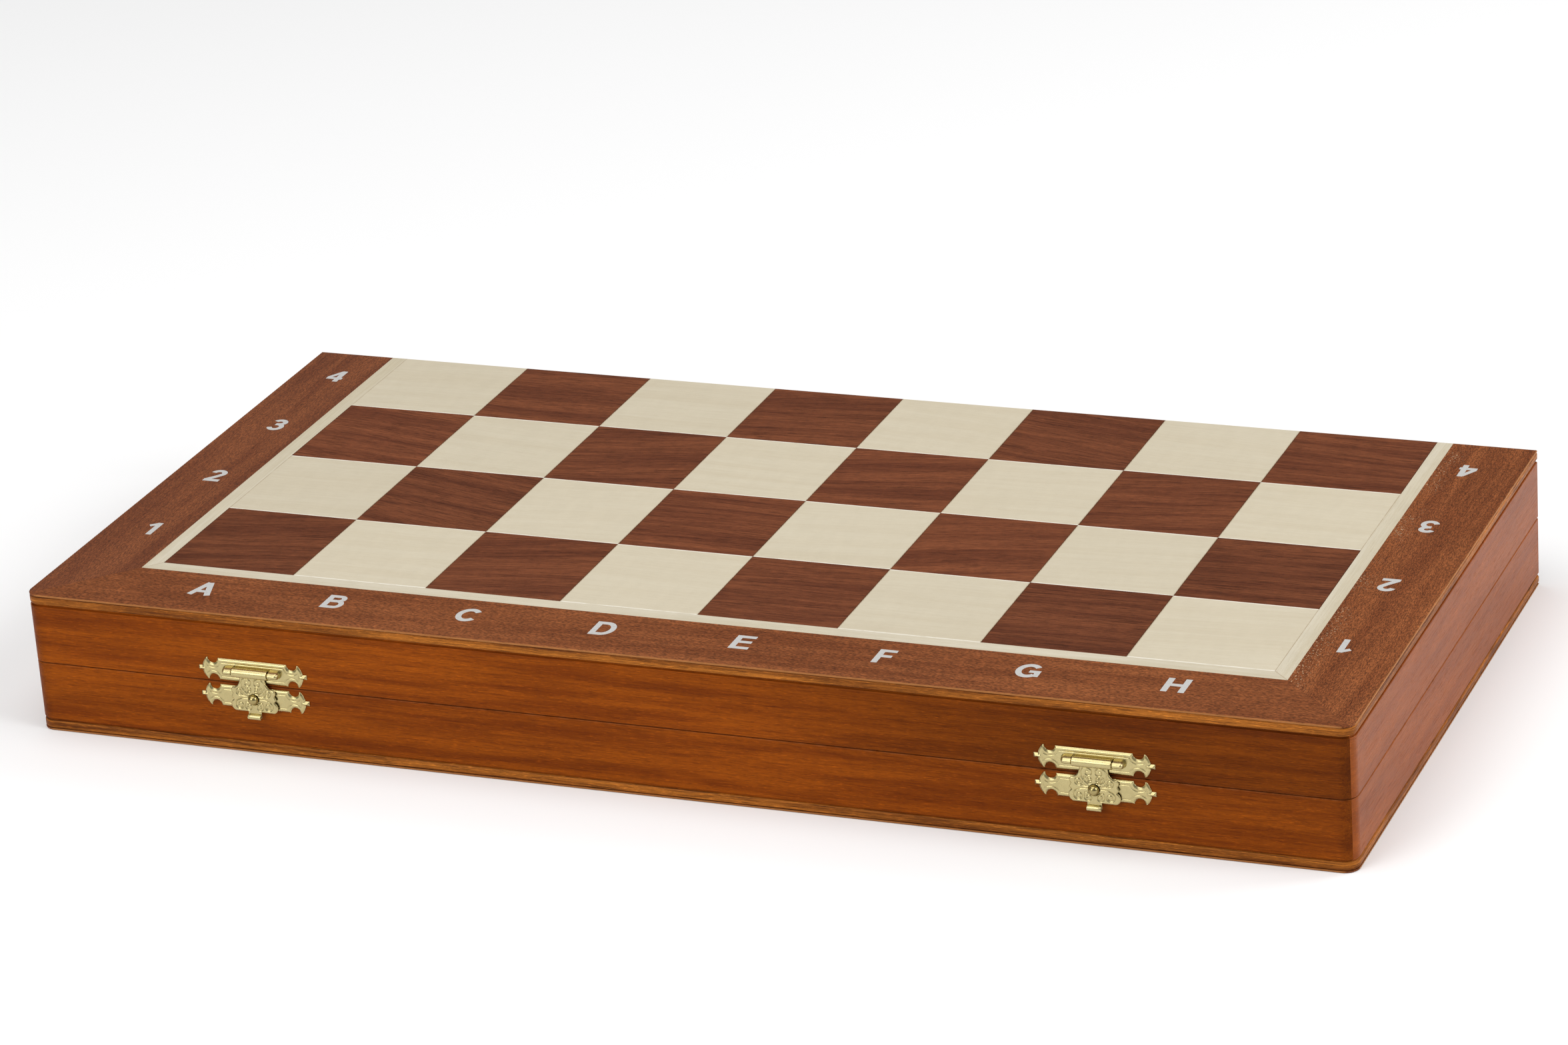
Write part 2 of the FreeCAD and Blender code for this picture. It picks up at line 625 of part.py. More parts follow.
def box_parts():
    """Panels, veneers and rails of both halves."""
    parts = {}
    strips = mitre_strips(HALF_X, FRONT, RAIL, RIM, PANEL_BOTTOM, BACK)
    ring = rail_ring()
    cuts = {"front": [], "left": [], "right": [], "back": []}
    for side in (-1, 1):
        cuts["front"] += prongs(side * LATCH_X, PLATE_CENTRE)
        cuts["back"].append(hinge_mortise(side * HINGE_X))
    cuts["back"] += [screw_blank(x) for x in screw_places()]
    for side, strip in strips.items():
        rail = ring.common(strip)
        if cuts[side]:
            rail = rail.cut(cuts[side])
        parts["lid_" + side + "_rail"] = rail
    parts["lid_panel"] = panel()
    parts["lid_border_veneer"] = border_veneer()
    parts["lid_stringing"] = stringing()
    for name, shape in list(parts.items()):
        parts[name.replace("lid_", "base_")] = mirrored(shape)
    parts["lid_dark_squares"] = squares(0)
    parts["lid_light_squares"] = squares(1)
    parts["base_dark_squares"] = mirrored(squares(1))
    parts["base_light_squares"] = mirrored(squares(0))
    x = INNER_X - LINING_PLAY
    y = INNER_Y - LINING_PLAY
    parts["lid_lining"] = box(-x, x, -y, y, PANEL_BOTTOM - LINING, PANEL_BOTTOM)
    studs = [stud(side * LATCH_X) for side in (-1, 1)]
    parts["base_front_rail"] = parts["base_front_rail"].cut(studs)
    return parts


def hinge_parts():
    """Two butt hinges and their screws."""
    parts = {}
    for side, name in ((-1, "hinge_left"), (1, "hinge_right")):
        x = side * HINGE_X
        parts[name + "_lid_leaf"] = hinge_leaf(x, 1)
        parts[name + "_base_leaf"] = mirrored(hinge_leaf(x, 0))
        parts[name + "_pin"] = hinge_pin(x)
    screws = Part.makeCompound([screw(x) for x in screw_places()])
    parts["lid_hinge_screws"] = screws
    parts["base_hinge_screws"] = mirrored(screws)
    return parts


def latch_parts():
    """Two latches, each of two plates, a hasp on its pin and a stud."""
    parts = {}
    for side, name in ((-1, "latch_left"), (1, "latch_right")):
        x = side * LATCH_X
        parts[name + "_lid_plate"] = lid_plate(x)
        parts[name + "_base_plate"] = base_plate(x)
        parts[name + "_hasp_pin"] = hasp_pin(x)
        parts[name + "_hasp"] = hasp(x)
        parts[name + "_stud"] = stud(x)
    return parts


def piece_parts(places):
    """Both armies as they lie in the tray; pawns and felt pads are grouped by colour."""
    makers = {"king": king, "queen": queen, "bishop": bishop, "knight": knight, "rook": rook, "pawn": pawn}
    shapes = {kind: maker() for kind, maker in makers.items()}
    pads = {kind: felt_pad(kind) for kind in makers}
    parts = {}
    for colour, rows in places.items():
        pawns = []
        count = {}
        for kind, place in rows:
            solid = laid(shapes[kind], place)
            if kind == "pawn":
                pawns.append(solid)
            elif kind in ("king", "queen"):
                parts[colour + "_" + kind] = solid
            else:
                count[kind] = count.get(kind, 0) + 1
                parts[colour + "_" + kind + "_" + str(count[kind])] = solid
        parts[colour + "_pawns"] = Part.makeCompound(pawns)
        felt = [laid(pads[kind], place) for kind, place in rows]
        parts[colour + "_felt_pads"] = Part.makeCompound(felt)
    return parts


def build():
    """Every named part of the closed set."""
    places = set_places()
    parts = box_parts()
    parts.update(hinge_parts())
    parts.update(latch_parts())
    parts.update(piece_parts(places))
    parts["piece_tray"] = tray(places)
    return parts


os.makedirs("parts", exist_ok=True)
for part_name, part_shape in build().items():
    part_shape.exportStep("parts/" + part_name + ".step")
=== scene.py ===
import json
import math

import bmesh
import bpy
import numpy as np
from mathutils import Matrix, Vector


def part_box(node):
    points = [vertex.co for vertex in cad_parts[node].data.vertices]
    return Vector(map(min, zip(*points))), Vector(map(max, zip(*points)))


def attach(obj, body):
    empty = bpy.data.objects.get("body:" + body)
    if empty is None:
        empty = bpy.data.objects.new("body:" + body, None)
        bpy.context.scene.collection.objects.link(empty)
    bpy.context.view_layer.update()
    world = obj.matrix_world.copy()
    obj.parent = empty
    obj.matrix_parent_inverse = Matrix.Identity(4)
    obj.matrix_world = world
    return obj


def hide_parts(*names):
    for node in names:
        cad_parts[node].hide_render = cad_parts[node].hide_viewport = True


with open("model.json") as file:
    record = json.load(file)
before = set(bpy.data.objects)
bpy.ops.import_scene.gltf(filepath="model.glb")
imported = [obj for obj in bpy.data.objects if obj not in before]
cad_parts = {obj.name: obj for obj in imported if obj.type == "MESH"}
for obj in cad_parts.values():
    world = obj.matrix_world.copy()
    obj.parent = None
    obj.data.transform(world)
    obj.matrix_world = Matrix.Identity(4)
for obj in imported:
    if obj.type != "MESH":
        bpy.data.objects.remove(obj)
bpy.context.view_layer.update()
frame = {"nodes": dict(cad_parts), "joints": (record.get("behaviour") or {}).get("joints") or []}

# Sizes, in millimetres. +X runs along the files A to H, +Y from the latches to the hinges, +Z up.

MM = 0.001
MERGE = 1e-6  # metres: points of a piece nearer than this are one point


def node_box(name):
    """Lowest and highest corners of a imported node, in millimetres."""
    return [np.round(np.array(corner) / MM, 2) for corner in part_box(name)]


(_, FRONT, _), (HALF_X, BACK, TOP) = node_box("lid_border_veneer")
(GRID_X, GRID_Y, _), _ = node_box("lid_dark_squares")
(TRAY_X, _, TRAY_FLOOR), (_, TRAY_Y, TRAY_TOP) = node_box("piece_tray")
(LINING_X, LINING_Y, LINING_FACE), (_, _, LINING_BACK) = node_box("lid_lining")
SEAM = TOP / 2
JOINTS = {joint["name"]: np.array(joint["pos_m"]) / MM for joint in frame["joints"]}
HINGE_Y = JOINTS["lid_hinge"][1]
RAIL = 9.0
SQUARE = 50.0
STRING_WIDTH = 5.7
INNER_X = HALF_X - RAIL
INNER_Y = BACK - RAIL

# Each kind of piece, as its slot takes it: height, foot radius, foot height, neck height, head radius
PIECES = {
    "king": (90.0, 17.5, 13.0, 26.0, 11.2),
    "queen": (79.0, 16.5, 12.5, 24.0, 11.2),
    "bishop": (69.0, 15.5, 12.0, 22.0, 9.4),
    "knight": (63.0, 16.0, 16.5, 18.0, 11.0),
    "rook": (50.0, 15.5, 12.0, 16.0, 12.4),
    "pawn": (47.0, 14.0, 10.5, 20.0, 8.7),
}
FELT = 0.8
BACK_ROW_LENGTH = 91.0
SHORT_ROW_LENGTH = 50.0

# Latch: u runs to the right of its centre, v up from the seam, w out from the front face
PLATE_CENTRE = 4.85
PLATE_HALF = 4.0
PLATE_THICK = 0.7
BITE_U = 14.9
BITE = 1.9
HORN_U = 17.25
SHOULDER_U = 18.9
SHOULDER_HALF = 1.3
PRONG_U = 20.4
PRONG_HALF = 0.85
WINDOW_U = 7.0
WINDOW_LOW = 4.3
WINDOW_HIGH = 5.9
AXIS_V = 5.1
AXIS_W = 2.2
LOOP = 1.45
LOOP_END = 10.9
BARREL = 1.65
BARREL_HALF = 6.65
PIN_BORE = 0.75
HASP_BACK = 1.15
HASP_FACE = 1.75
HASP_TOP = 4.4
HOLE = 2.15
HOLE_V = -4.75
STUD_V = -4.6
STUD_NECK = 1.5
STUD_DOME = 1.85
STUD_SHOULDER = 1.95
LIP_HALF = 2.43
LIP_V = -11.05
LIP_W = 2.1
LIP_ROLL = 0.65
LIP_THICK_HALF = 0.28

# How the latches are pressed and engraved: widths and depths
EDGE_ROUND = 0.85
EDGE_SHARE = 0.22
PRESSED_IN = 1.5
PRESSED_WIDE = 0.17
PRESSED_DEEP = 0.13
CREASE_U = 17.2
CREASE_WIDE = 0.4
CREASE_HIGH = 0.22
HASP_ROUND = 0.45
HASP_DROP = 0.3
CUT_WIDE = 0.18
CUT_DEEP = 0.2
RISE_V = 3.15
RISE = 0.8


# Mesh making. A shell is its points and a list of arrays of faces.

def weave(rows, cols, wrap_rows=False, wrap_cols=False):
    """Quads of a grid of points numbered row after row; a wrapped direction joins its last line to
    its first."""
    row = np.arange(rows if wrap_rows else rows - 1)[:, None]
    col = np.arange(cols if wrap_cols else cols - 1)[None]
    next_row, next_col = (row + 1) % rows, (col + 1) % cols
    corners = (row, col), (row, next_col), (next_row, next_col), (next_row, col)
    return np.stack([down * cols + along for down, along in corners], -1).reshape(-1, 4)


def rounds(rings):
    """A shell from rings (ring, point, xyz) whose first and last are points on its axis."""
    return rings.reshape(-1, 3), [weave(*rings.shape[:2], wrap_cols=True)]


def capped(rings):
    """A closed shell from rings: neighbours are joined, and a flat face closes each end."""
    count, around = rings.shape[:2]
    ends = np.arange(around) + np.array([[0], [(count - 1) * around]])
    return rings.reshape(-1, 3), [weave(count, around, wrap_cols=True), ends]


def looped(rings):
    """A closed shell from rings whose last one joins the first, as round a washer."""
    return rings.reshape(-1, 3), [weave(*rings.shape[:2], True, True)]


def lathed(profile, spokes=56):
    """A turned shell about the Z axis: each (radius, height) of the profile is carried round a circle."""
    angle = np.linspace(0, 2 * math.pi, spokes, endpoint=False)
    radius, height = profile[:, :1], profile[:, 1:]
    return rounds(np.stack([radius * np.cos(angle), radius * np.sin(angle), height + 0 * angle], -1))


def on_axis(profile):
    """The profile with its first and last points put on the axis, and none beyond it."""
    profile[0, 0] = profile[-1, 0] = 0.0
    return np.clip(profile, 0, None)


def arc(start, via, end, count=14):
    """Points on the circle through start, via and end, after start: its centre is where their
    bisectors meet."""
    a, b, c = (complex(*p) for p in (start, via, end))
    w = (c - a) / (b - a)
    centre = (b - a) * (w - abs(w) ** 2) / (2j * w.imag) + a
    sweep = np.angle((c - centre) / (a - centre))
    middle = np.angle((b - centre) / (a - centre))
    if not (0 < middle < sweep or sweep < middle < 0):
        sweep -= math.copysign(2 * math.pi, sweep)
    turned = centre + (a - centre) * np.exp(1j * sweep * np.linspace(0, 1, count + 1)[1:])
    return np.stack([turned.real, turned.imag], 1)


def drawn(start, *steps):
    """A line from start through steps: each is an end point, or a point on an arc and then the arc's end."""
    points = [np.array([start], float)]
    for step in steps:
        ends = np.array([step], float) if len(step) == 2 else arc(points[-1][-1], step[:2], step[2:])
        points.append(ends)
    return np.concatenate(points)


def even(points, step):
    """The same line with its points set evenly, about step apart."""
    along = np.concatenate([[0], np.cumsum(np.linalg.norm(np.diff(points, axis=0), axis=1))])
    at = np.linspace(0, along[-1], int(along[-1] / step) + 2)
    return np.stack([np.interp(at, along, points[:, k]) for k in range(points.shape[1])], 1)


def bell_curve(radius, step):
    """How far a bell curve of that radius reaches in steps, and its weights, which add up to one."""
    reach = int(3 * radius / step) + 1
    bell = np.exp(-0.5 * (np.arange(-reach, reach + 1) * step / radius) ** 2)
    return reach, bell / bell.sum()


def eased(points, radius, step=0.4):
    """The line with its corners rounded: set evenly, then averaged over a bell curve of that radius."""
    line = even(points, step)
    reach, bell = bell_curve(radius, step)
    before = 2 * line[0] - line[reach:0:-1]
    after = 2 * line[-1] - line[-2:-reach - 2:-1]
    longer = np.concatenate([before, line, after])
    return np.stack([np.convolve(column, bell, "valid") for column in longer.T], 1)


def spline(points, count=40):
    """A smooth line through the points: each stretch is the cubic that leaves and arrives along its
    neighbours."""
    p = np.asarray(points, float)
    p = np.concatenate([2 * p[:1] - p[1:2], p, 2 * p[-1:] - p[-2:-1]])
    t = np.linspace(0, 1, max(count // (len(p) - 3), 2), endpoint=False)[:, None]
    stretches = []
    for a, b, c, d in zip(p, p[1:], p[2:], p[3:]):
        bend = (2 * a - 5 * b + 4 * c - d) * t**2 + (3 * b - a - 3 * c + d) * t**3
        stretches.append(0.5 * (2 * b + (c - a) * t + bend))
    return np.concatenate(stretches + [p[-2:-1]])


def sideways(line, half, closed=False):
    """Steps from a line to its left side, square to the way from each point's last neighbour to its next."""
    ahead = np.roll(line, -1, 0) - np.roll(line, 1, 0) if closed else np.gradient(line, axis=0)
    ahead /= np.linalg.norm(ahead, axis=1, keepdims=True)
    return np.stack([-ahead[:, 1], ahead[:, 0]], 1) * half


def gap_to(u, v, line):
    """Distance from every point (u, v) to the nearest point of a finely set line."""
    flat = np.stack([np.ravel(u), np.ravel(v)], 1)
    nearest = np.full(len(flat), np.inf)
    for part in np.array_split(line, max(len(line) // 120, 1)):
        away = np.hypot(flat[:, :1] - part[:, 0], flat[:, 1:] - part[:, 1])
        nearest = np.minimum(nearest, away.min(1))
    return nearest.reshape(np.shape(u))


def piece(name, shells, body, material, replaces=(), crease=40):
    """Puts closed shells, given in millimetres, into one mesh, faces outward, riding on its body."""
    points, faces, count = [], [], 0
    for shell_points, blocks in shells:
        for block in blocks:
            faces += (block + count).tolist()
        points.append(shell_points)
        count += len(shell_points)
    mesh = bpy.data.meshes.new(name)
    mesh.from_pydata((np.concatenate(points) * MM).tolist(), [], faces)
    work = bmesh.new()
    work.from_mesh(mesh)
    bmesh.ops.remove_doubles(work, verts=work.verts, dist=MERGE)
    bmesh.ops.dissolve_degenerate(work, edges=work.edges, dist=MERGE)
    bmesh.ops.recalc_face_normals(work, faces=work.faces)
    work.to_mesh(mesh)
    work.free()
    mesh.shade_smooth()
    mesh.set_sharp_from_angle(angle=math.radians(crease))
    mesh.materials.append(material)
    made = bpy.data.objects.new(name, mesh)
    bpy.context.scene.collection.objects.link(made)
    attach(made, body)
    if replaces:
        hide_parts(*replaces)
    return made


# Shader nodes

def shade(red, green, blue):
    """A colour as it looks on a screen, 0 to 255, in the linear values that shaders take."""
    part = np.array([red, green, blue]) / 255
    linear = np.where(part <= 0.04045, part / 12.92, ((part + 0.055) / 1.055) ** 2.4)
    return (*linear.tolist(), 1.0)


class Nodes:
    """The nodes of one material or group: each method adds a node and hands on what comes out of it."""

    def __init__(self, tree):
        self.tree = tree

    def feed(self, socket, value):
        """Links a socket to an input, or sets the input's value."""
        if isinstance(value, bpy.types.NodeSocket):
            self.tree.links.new(value, socket)
        else:
            socket.default_value = value

    def add(self, kind, inputs=None, **settings):
        """A shader node with its settings, and its inputs by name or number."""
        node = self.tree.nodes.new("ShaderNode" + kind)
        for name, value in settings.items():
            setattr(node, name, value)
        for name, value in (inputs or {}).items():
            self.feed(node.inputs[name], value)
        return node

    def use(self, node_group, **inputs):
        """A node group with its inputs: its outputs."""
        named = {name.replace("_", " "): value for name, value in inputs.items()}
        return self.add("Group", named, node_tree=node_group).outputs

    def calc(self, operation, *terms, clamp=False):
        """A sum on numbers."""
        return self.add("Math", dict(enumerate(terms)), operation=operation, use_clamp=clamp).outputs[0]

    def less(self, first, second):
        """The first number less the second."""
        return self.calc("SUBTRACT", first, second)

    def times(self, first, second):
        """Two numbers multiplied."""
        return self.calc("MULTIPLY", first, second)

    def sloped(self, value, slope, start):
        """value times slope, plus start."""
        return self.calc("MULTIPLY_ADD", value, slope, start)

    def spread(self, value, amount):
        """1 plus or minus amount, for a value from 0 to 1."""
        return self.sloped(value, 2 * amount, 1 - amount)

    def turn(self, operation, *terms):
        """A sum on vectors."""
        return self.add("VectorMath", dict(enumerate(terms)), operation=operation).outputs[0]

    def split(self, vector):
        """A vector's x, y and z."""
        return self.add("SeparateXYZ", {0: vector}).outputs

    def joined(self, x, y, z):
        """A vector of x, y and z."""
        return self.add("CombineXYZ", {0: x, 1: y, 2: z}).outputs[0]

    def noise(self, vector, scale, detail, rough, output="Fac"):
        """Noise with about scale grains to a millimetre along each axis."""
        at = self.turn("MULTIPLY", vector, scale)
        inputs = {"Vector": at, "Scale": 1.0, "Detail": detail, "Roughness": rough}
        return self.add("TexNoise", inputs).outputs[output]

    def fade(self, value, start, end, low=0.0, high=1.0):
        """low before start, high after end, and a smooth step between."""
        inputs = {"Value": value, "From Min": start, "From Max": end, "To Min": low, "To Max": high}
        return self.add("MapRange", inputs, interpolation_type="SMOOTHSTEP").outputs["Result"]

    def mixed(self, factor, first, second):
        """Two colours mixed by a factor."""
        return self.add("Mix", {0: factor, 6: first, 7: second}, data_type="RGBA").outputs[2]

    def tinted(self, colour, mask, amount, tint):
        """A colour mixed towards a tint where a mask is 1."""
        return self.mixed(self.times(mask, amount), colour, tint)

    def brighter(self, colour, value):
        """A colour with its value multiplied."""
        return self.add("HueSaturation", {"Color": colour, "Value": value}).outputs[0]

    def millimetres(self):
        """Where the point is on the object, in millimetres."""
        return self.turn("MULTIPLY", self.add("TexCoord").outputs["Object"], (1 / MM,) * 3)

    def pointiness(self):
        """How much the surface stands out at a point: 0.5 on flat parts, more on ridges, less in hollows."""
        return self.add("NewGeometry").outputs["Pointiness"]

    def surface(self, shader, colour, rough, height, depth):
        """Feeds the shader its colour, its roughness, and dents from a height, depth millimetres deep."""
        self.feed(shader.inputs["Base Color"], colour)
        self.feed(shader.inputs["Roughness"], rough)
        node = self.add("Bump", {"Height": height, "Distance": depth * MM, "Strength": 1.0})
        self.feed(shader.inputs["Normal"], node.outputs[0])


def group(name, inputs, masks):
    """A new node group with named sockets: its nodes, and what comes in."""
    tree = bpy.data.node_groups.new(name, "ShaderNodeTree")
    for socket_name, start in inputs.items():
        kind = "NodeSocketVector" if start is None else "NodeSocketFloat"
        socket = tree.interface.new_socket(socket_name, in_out="INPUT", socket_type=kind)
        if start is not None:
            socket.default_value = start
    for mask in masks:
        tree.interface.new_socket(mask, in_out="OUTPUT", socket_type="NodeSocketFloat")
    return Nodes(tree), tree.nodes.new("NodeGroupInput").outputs


def put_out(nodes, masks):
    """Feeds a group's outputs by name, and hands on the finished group."""
    result = nodes.tree.nodes.new("NodeGroupOutput").inputs
    for name, value in masks.items():
        nodes.feed(result[name], value)
    return nodes.tree


def finish(name, **constants):
    """A material with its Principled shader's constant values set: the material, its nodes, its shader."""
    material = bpy.data.materials.new(name)
    material.use_nodes = True
    shader = material.node_tree.nodes["Principled BSDF"]
    for socket, value in constants.items():
        shader.inputs[socket.replace("_", " ")].default_value = value
    return material, Nodes(material.node_tree), shader


# Effects that several finishes share

GRAIN_INPUTS = {"Vector": None, "Length": 1.0, "Fineness": 1.0, "Wander": 2.0}
GRAIN_MASKS = ["Tone", "Streak", "Pore", "Fleck", "Figure"]


def make_wood_grain():
    """Grain along the vector's x: slow bands, fine dark streaks, short pores, pale flecks, and
    cross figure."""
    nodes, given = group("wood_grain", GRAIN_INPUTS, GRAIN_MASKS)
    slow = nodes.noise(given["Vector"], (0.011, 0.03, 0.03), 2.0, 0.5, "Color")
    reach = nodes.joined(0.0, nodes.times(given["Wander"], 4.0), 0.0)
    wander = nodes.turn("MULTIPLY", nodes.turn("SUBTRACT", slow, (0.5, 0.5, 0.5)), reach)
    at = nodes.turn("ADD", given["Vector"], wander)
    along = nodes.calc("DIVIDE", 1.0, given["Length"])

    def threads(x, across, detail, rough, elsewhere=(0.0, 0.0, 0.0)):
        """Noise drawn out along the grain: x to a millimetre along it, across over it."""
        fine = nodes.times(given["Fineness"], across)
        stretched = nodes.turn("MULTIPLY", at, nodes.joined(nodes.times(along, x), fine, fine))
        return nodes.noise(nodes.turn("ADD", stretched, elsewhere), (1.0, 1.0, 1.0), detail, rough)

    return put_out(nodes, {
        "Tone": nodes.fade(threads(0.008, 0.16, 5.0, 0.7), 0.34, 0.66),
        "Streak": nodes.fade(threads(0.06, 2.3, 5.0, 0.78), 0.49, 0.62),
        "Pore": nodes.fade(threads(0.3, 3.6, 2.0, 0.5), 0.55, 0.70),
        "Fleck": nodes.fade(threads(0.3, 3.0, 2.0, 0.5, (31.0, 17.0, 53.0)), 0.56, 0.72),
        "Figure": nodes.fade(threads(0.2, 0.06, 3.0, 0.6), 0.28, 0.72),
    })


WOOD_GRAIN = make_wood_grain()


def grain_masks(nodes, given, vector):
    """The wood grain nested in a wider effect's group: its masks by name."""
    grain = nodes.use(WOOD_GRAIN, Vector=vector, Length=given["Length"], Fineness=given["Fineness"],
                      Wander=given["Wander"])
    return {name: grain[name] for name in GRAIN_MASKS}


def make_tile_grain():
    """Each square of a grid is its own cut of veneer: its grain is tilted and comes from another place, with
    a fine line at its side joints (Joint) and a line at its front and back ones for a painted highlight."""
    nodes, given = group("tile_grain", {**GRAIN_INPUTS, "Tilt": 12.0, "Grid X": 0.0, "Grid Y": 0.0},
                         GRAIN_MASKS + ["Chance", "Joint", "Seam"])
    local = nodes.turn("SUBTRACT", given["Vector"], nodes.joined(given["Grid X"], given["Grid Y"], 0.0))
    in_squares = nodes.turn("MULTIPLY", local, (1 / SQUARE,) * 3)
    cell = nodes.turn("ADD", nodes.turn("FLOOR", in_squares), (3.5, 7.5, 1.5))
    dice = nodes.add("TexWhiteNoise", {"Vector": cell}, noise_dimensions="3D").outputs
    lean = nodes.calc("RADIANS", nodes.times(nodes.sloped(dice["Value"], 2.0, -1.0), given["Tilt"]))
    leaning = nodes.add("VectorRotate", {"Vector": local, "Angle": lean}, rotation_type="Z_AXIS").outputs[0]
    elsewhere = nodes.turn("MULTIPLY", dice["Color"], (900.0, 700.0, 500.0))
    masks = grain_masks(nodes, given, nodes.turn("ADD", leaning, elsewhere))
    masks["Chance"] = nodes.split(dice["Color"])["Y"]
    from_middle = nodes.turn("SUBTRACT", nodes.turn("FRACTION", in_squares), (0.5, 0.5, 0.5))
    across, down, _ = nodes.split(nodes.turn("ABSOLUTE", from_middle))
    patchy = nodes.fade(nodes.noise(given["Vector"], (0.12, 0.12, 0.12), 4.0, 0.7), 0.3, 0.55, 0.3, 1.0)
    # The side joints' line is a real joint; the front and back line carries a painted highlight.
    for name, share, width in (("Joint", across, 0.45), ("Seam", down, 0.75)):
        line = nodes.fade(share, 0.5 - width / SQUARE, 0.5 - 0.2 * width / SQUARE)
        masks[name] = nodes.times(line, patchy)
    return put_out(nodes, masks)


def make_strip_grain():
    """Strips mitred round a frame: grain runs along each strip, from another place, with short dashes and a
    line at the mitre. Side is 1 on the two side strips, and Right on the right one."""
    nodes, given = group("strip_grain", {**GRAIN_INPUTS, "Half Length": 0.0, "Front": 0.0},
                         GRAIN_MASKS + ["Dash", "Side", "Right", "Joint"])
    x, y, z = nodes.split(given["Vector"])
    from_end = nodes.less(given["Half Length"], nodes.calc("ABSOLUTE", x))
    from_front = nodes.less(y, given["Front"])
    side = nodes.calc("LESS_THAN", from_end, from_front)
    right = nodes.times(side, nodes.calc("GREATER_THAN", x, 0.0))
    turned = {0: side, 4: nodes.joined(x, y, z), 5: nodes.joined(y, x, z)}
    elsewhere = nodes.joined(nodes.times(right, 613.0), nodes.times(side, 271.0), 0.0)
    along = nodes.turn("ADD", nodes.add("Mix", turned, data_type="VECTOR").outputs[1], elsewhere)
    to_mitre = nodes.calc("ABSOLUTE", nodes.less(from_end, from_front))
    return put_out(nodes, {
        **grain_masks(nodes, given, along),
        "Dash": nodes.noise(along, (0.8, 2.8, 2.8), 3.0, 0.55),
        "Side": side,
        "Right": right,
        "Joint": nodes.fade(to_mitre, 0.1, 0.45, 1.0, 0.0),
    })


def make_edge_wear():
    """An edge mask, used both for wear and for painted highlights: strongest where the distance to the edge
    is small, broken up by noise.
    """
    nodes, given = group("edge_wear_and_highlight", {"Vector": None, "Distance": 10.0, "Width": 0.6}, ["Wear_And_Highlight"])
    patchy = nodes.noise(given["Vector"], (0.35, 0.35, 0.35), 4.0, 0.6)
    reach = nodes.times(given["Width"], nodes.sloped(patchy, 2.4, -0.4))
    share = nodes.calc("DIVIDE", given["Distance"], reach)
    return put_out(nodes, {"Wear_And_Highlight": nodes.calc("SUBTRACT", 1.0, share, clamp=True)})


def make_metal_wear():
    """Brushed metal: fine lines along x, a mottled dullness, and dirt that stays in the hollows."""
    nodes, given = group("metal_wear", {"Vector": None, "Pointiness": 0.5},
                         ["Lines", "Dull", "Hollow", "Bright"])
    return put_out(nodes, {
        "Lines": nodes.noise(given["Vector"], (0.5, 9.0, 9.0), 3.0, 0.6),
        "Dull": nodes.fade(nodes.noise(given["Vector"], (0.5, 0.5, 0.5), 5.0, 0.65), 0.35, 0.75),
        "Hollow": nodes.fade(given["Pointiness"], 0.40, 0.487, 1.0, 0.0),
        "Bright": nodes.fade(given["Pointiness"], 0.515, 0.60),
    })


def make_nap():
    """Cloth with a nap: short fibres, patches brushed another way, and specks of lint."""
    nodes, given = group("nap", {"Vector": None, "Fibre": 3.0}, ["Fibres", "Patches", "Lint"])
    fibre = nodes.joined(given["Fibre"], given["Fibre"], given["Fibre"])
    return put_out(nodes, {
        "Fibres": nodes.noise(given["Vector"], fibre, 3.0, 0.7),
        "Patches": nodes.fade(nodes.noise(given["Vector"], (0.05, 0.08, 0.05), 3.0, 0.6), 0.3, 0.7),
        "Lint": nodes.fade(nodes.noise(given["Vector"], (1.1, 0.9, 1.0), 1.0, 0.4), 0.76, 0.8),
    })


TILE_GRAIN = make_tile_grain()
STRIP_GRAIN = make_strip_grain()
EDGE_WEAR_AND_HIGHLIGHT = make_edge_wear()
METAL_WEAR = make_metal_wear()
NAP = make_nap()


# Finishes

def stain(nodes, grain, dark, light, streak, streaks, pores, figure, flecks):
    """Wood colour: dark to light with the bands, then streaks, pores, pale flecks and a cross
    figure over it."""
    colour = nodes.mixed(grain["Tone"], dark, light)
    colour = nodes.tinted(colour, grain["Streak"], streaks, streak)
    colour = nodes.tinted(colour, grain["Pore"], pores, streak)
    colour = nodes.brighter(colour, nodes.sloped(grain["Fleck"], flecks, 1.0))
    return nodes.brighter(colour, nodes.spread(grain["Figure"], figure))


def lacquer(nodes, shader, grain, colour, rough, depth):
    """Satin lacquer over wood: rougher in the streaks, and the pores still show as shallow dents."""
    height = nodes.sloped(grain["Pore"], -0.8, nodes.times(grain["Streak"], -0.3))
    nodes.surface(shader, colour, nodes.sloped(grain["Streak"], 0.12, rough), height, depth)


def make_dark_squares():
    """Dark squares: strongly streaked brown veneer, each square its own shade, dark at its side joints."""
    material, nodes, shader = finish("walnut_square_veneer", Specular_IOR_Level=0.07)
    grain = nodes.use(TILE_GRAIN, Vector=nodes.millimetres(), Tilt=13.0, Grid_X=GRID_X, Grid_Y=GRID_Y,
                      Length=0.9, Fineness=1.15, Wander=2.2)
    colour = stain(nodes, grain, shade(94, 49, 29), shade(122, 69, 42), shade(46, 21, 12),
                   streaks=0.68, pores=0.5, figure=0.05, flecks=0.3)
    colour = nodes.brighter(colour, nodes.spread(grain["Chance"], 0.10))
    colour = nodes.tinted(colour, grain["Joint"], 0.6, shade(50, 32, 14))
    lacquer(nodes, shader, grain, colour, rough=0.42, depth=0.03)
    return material


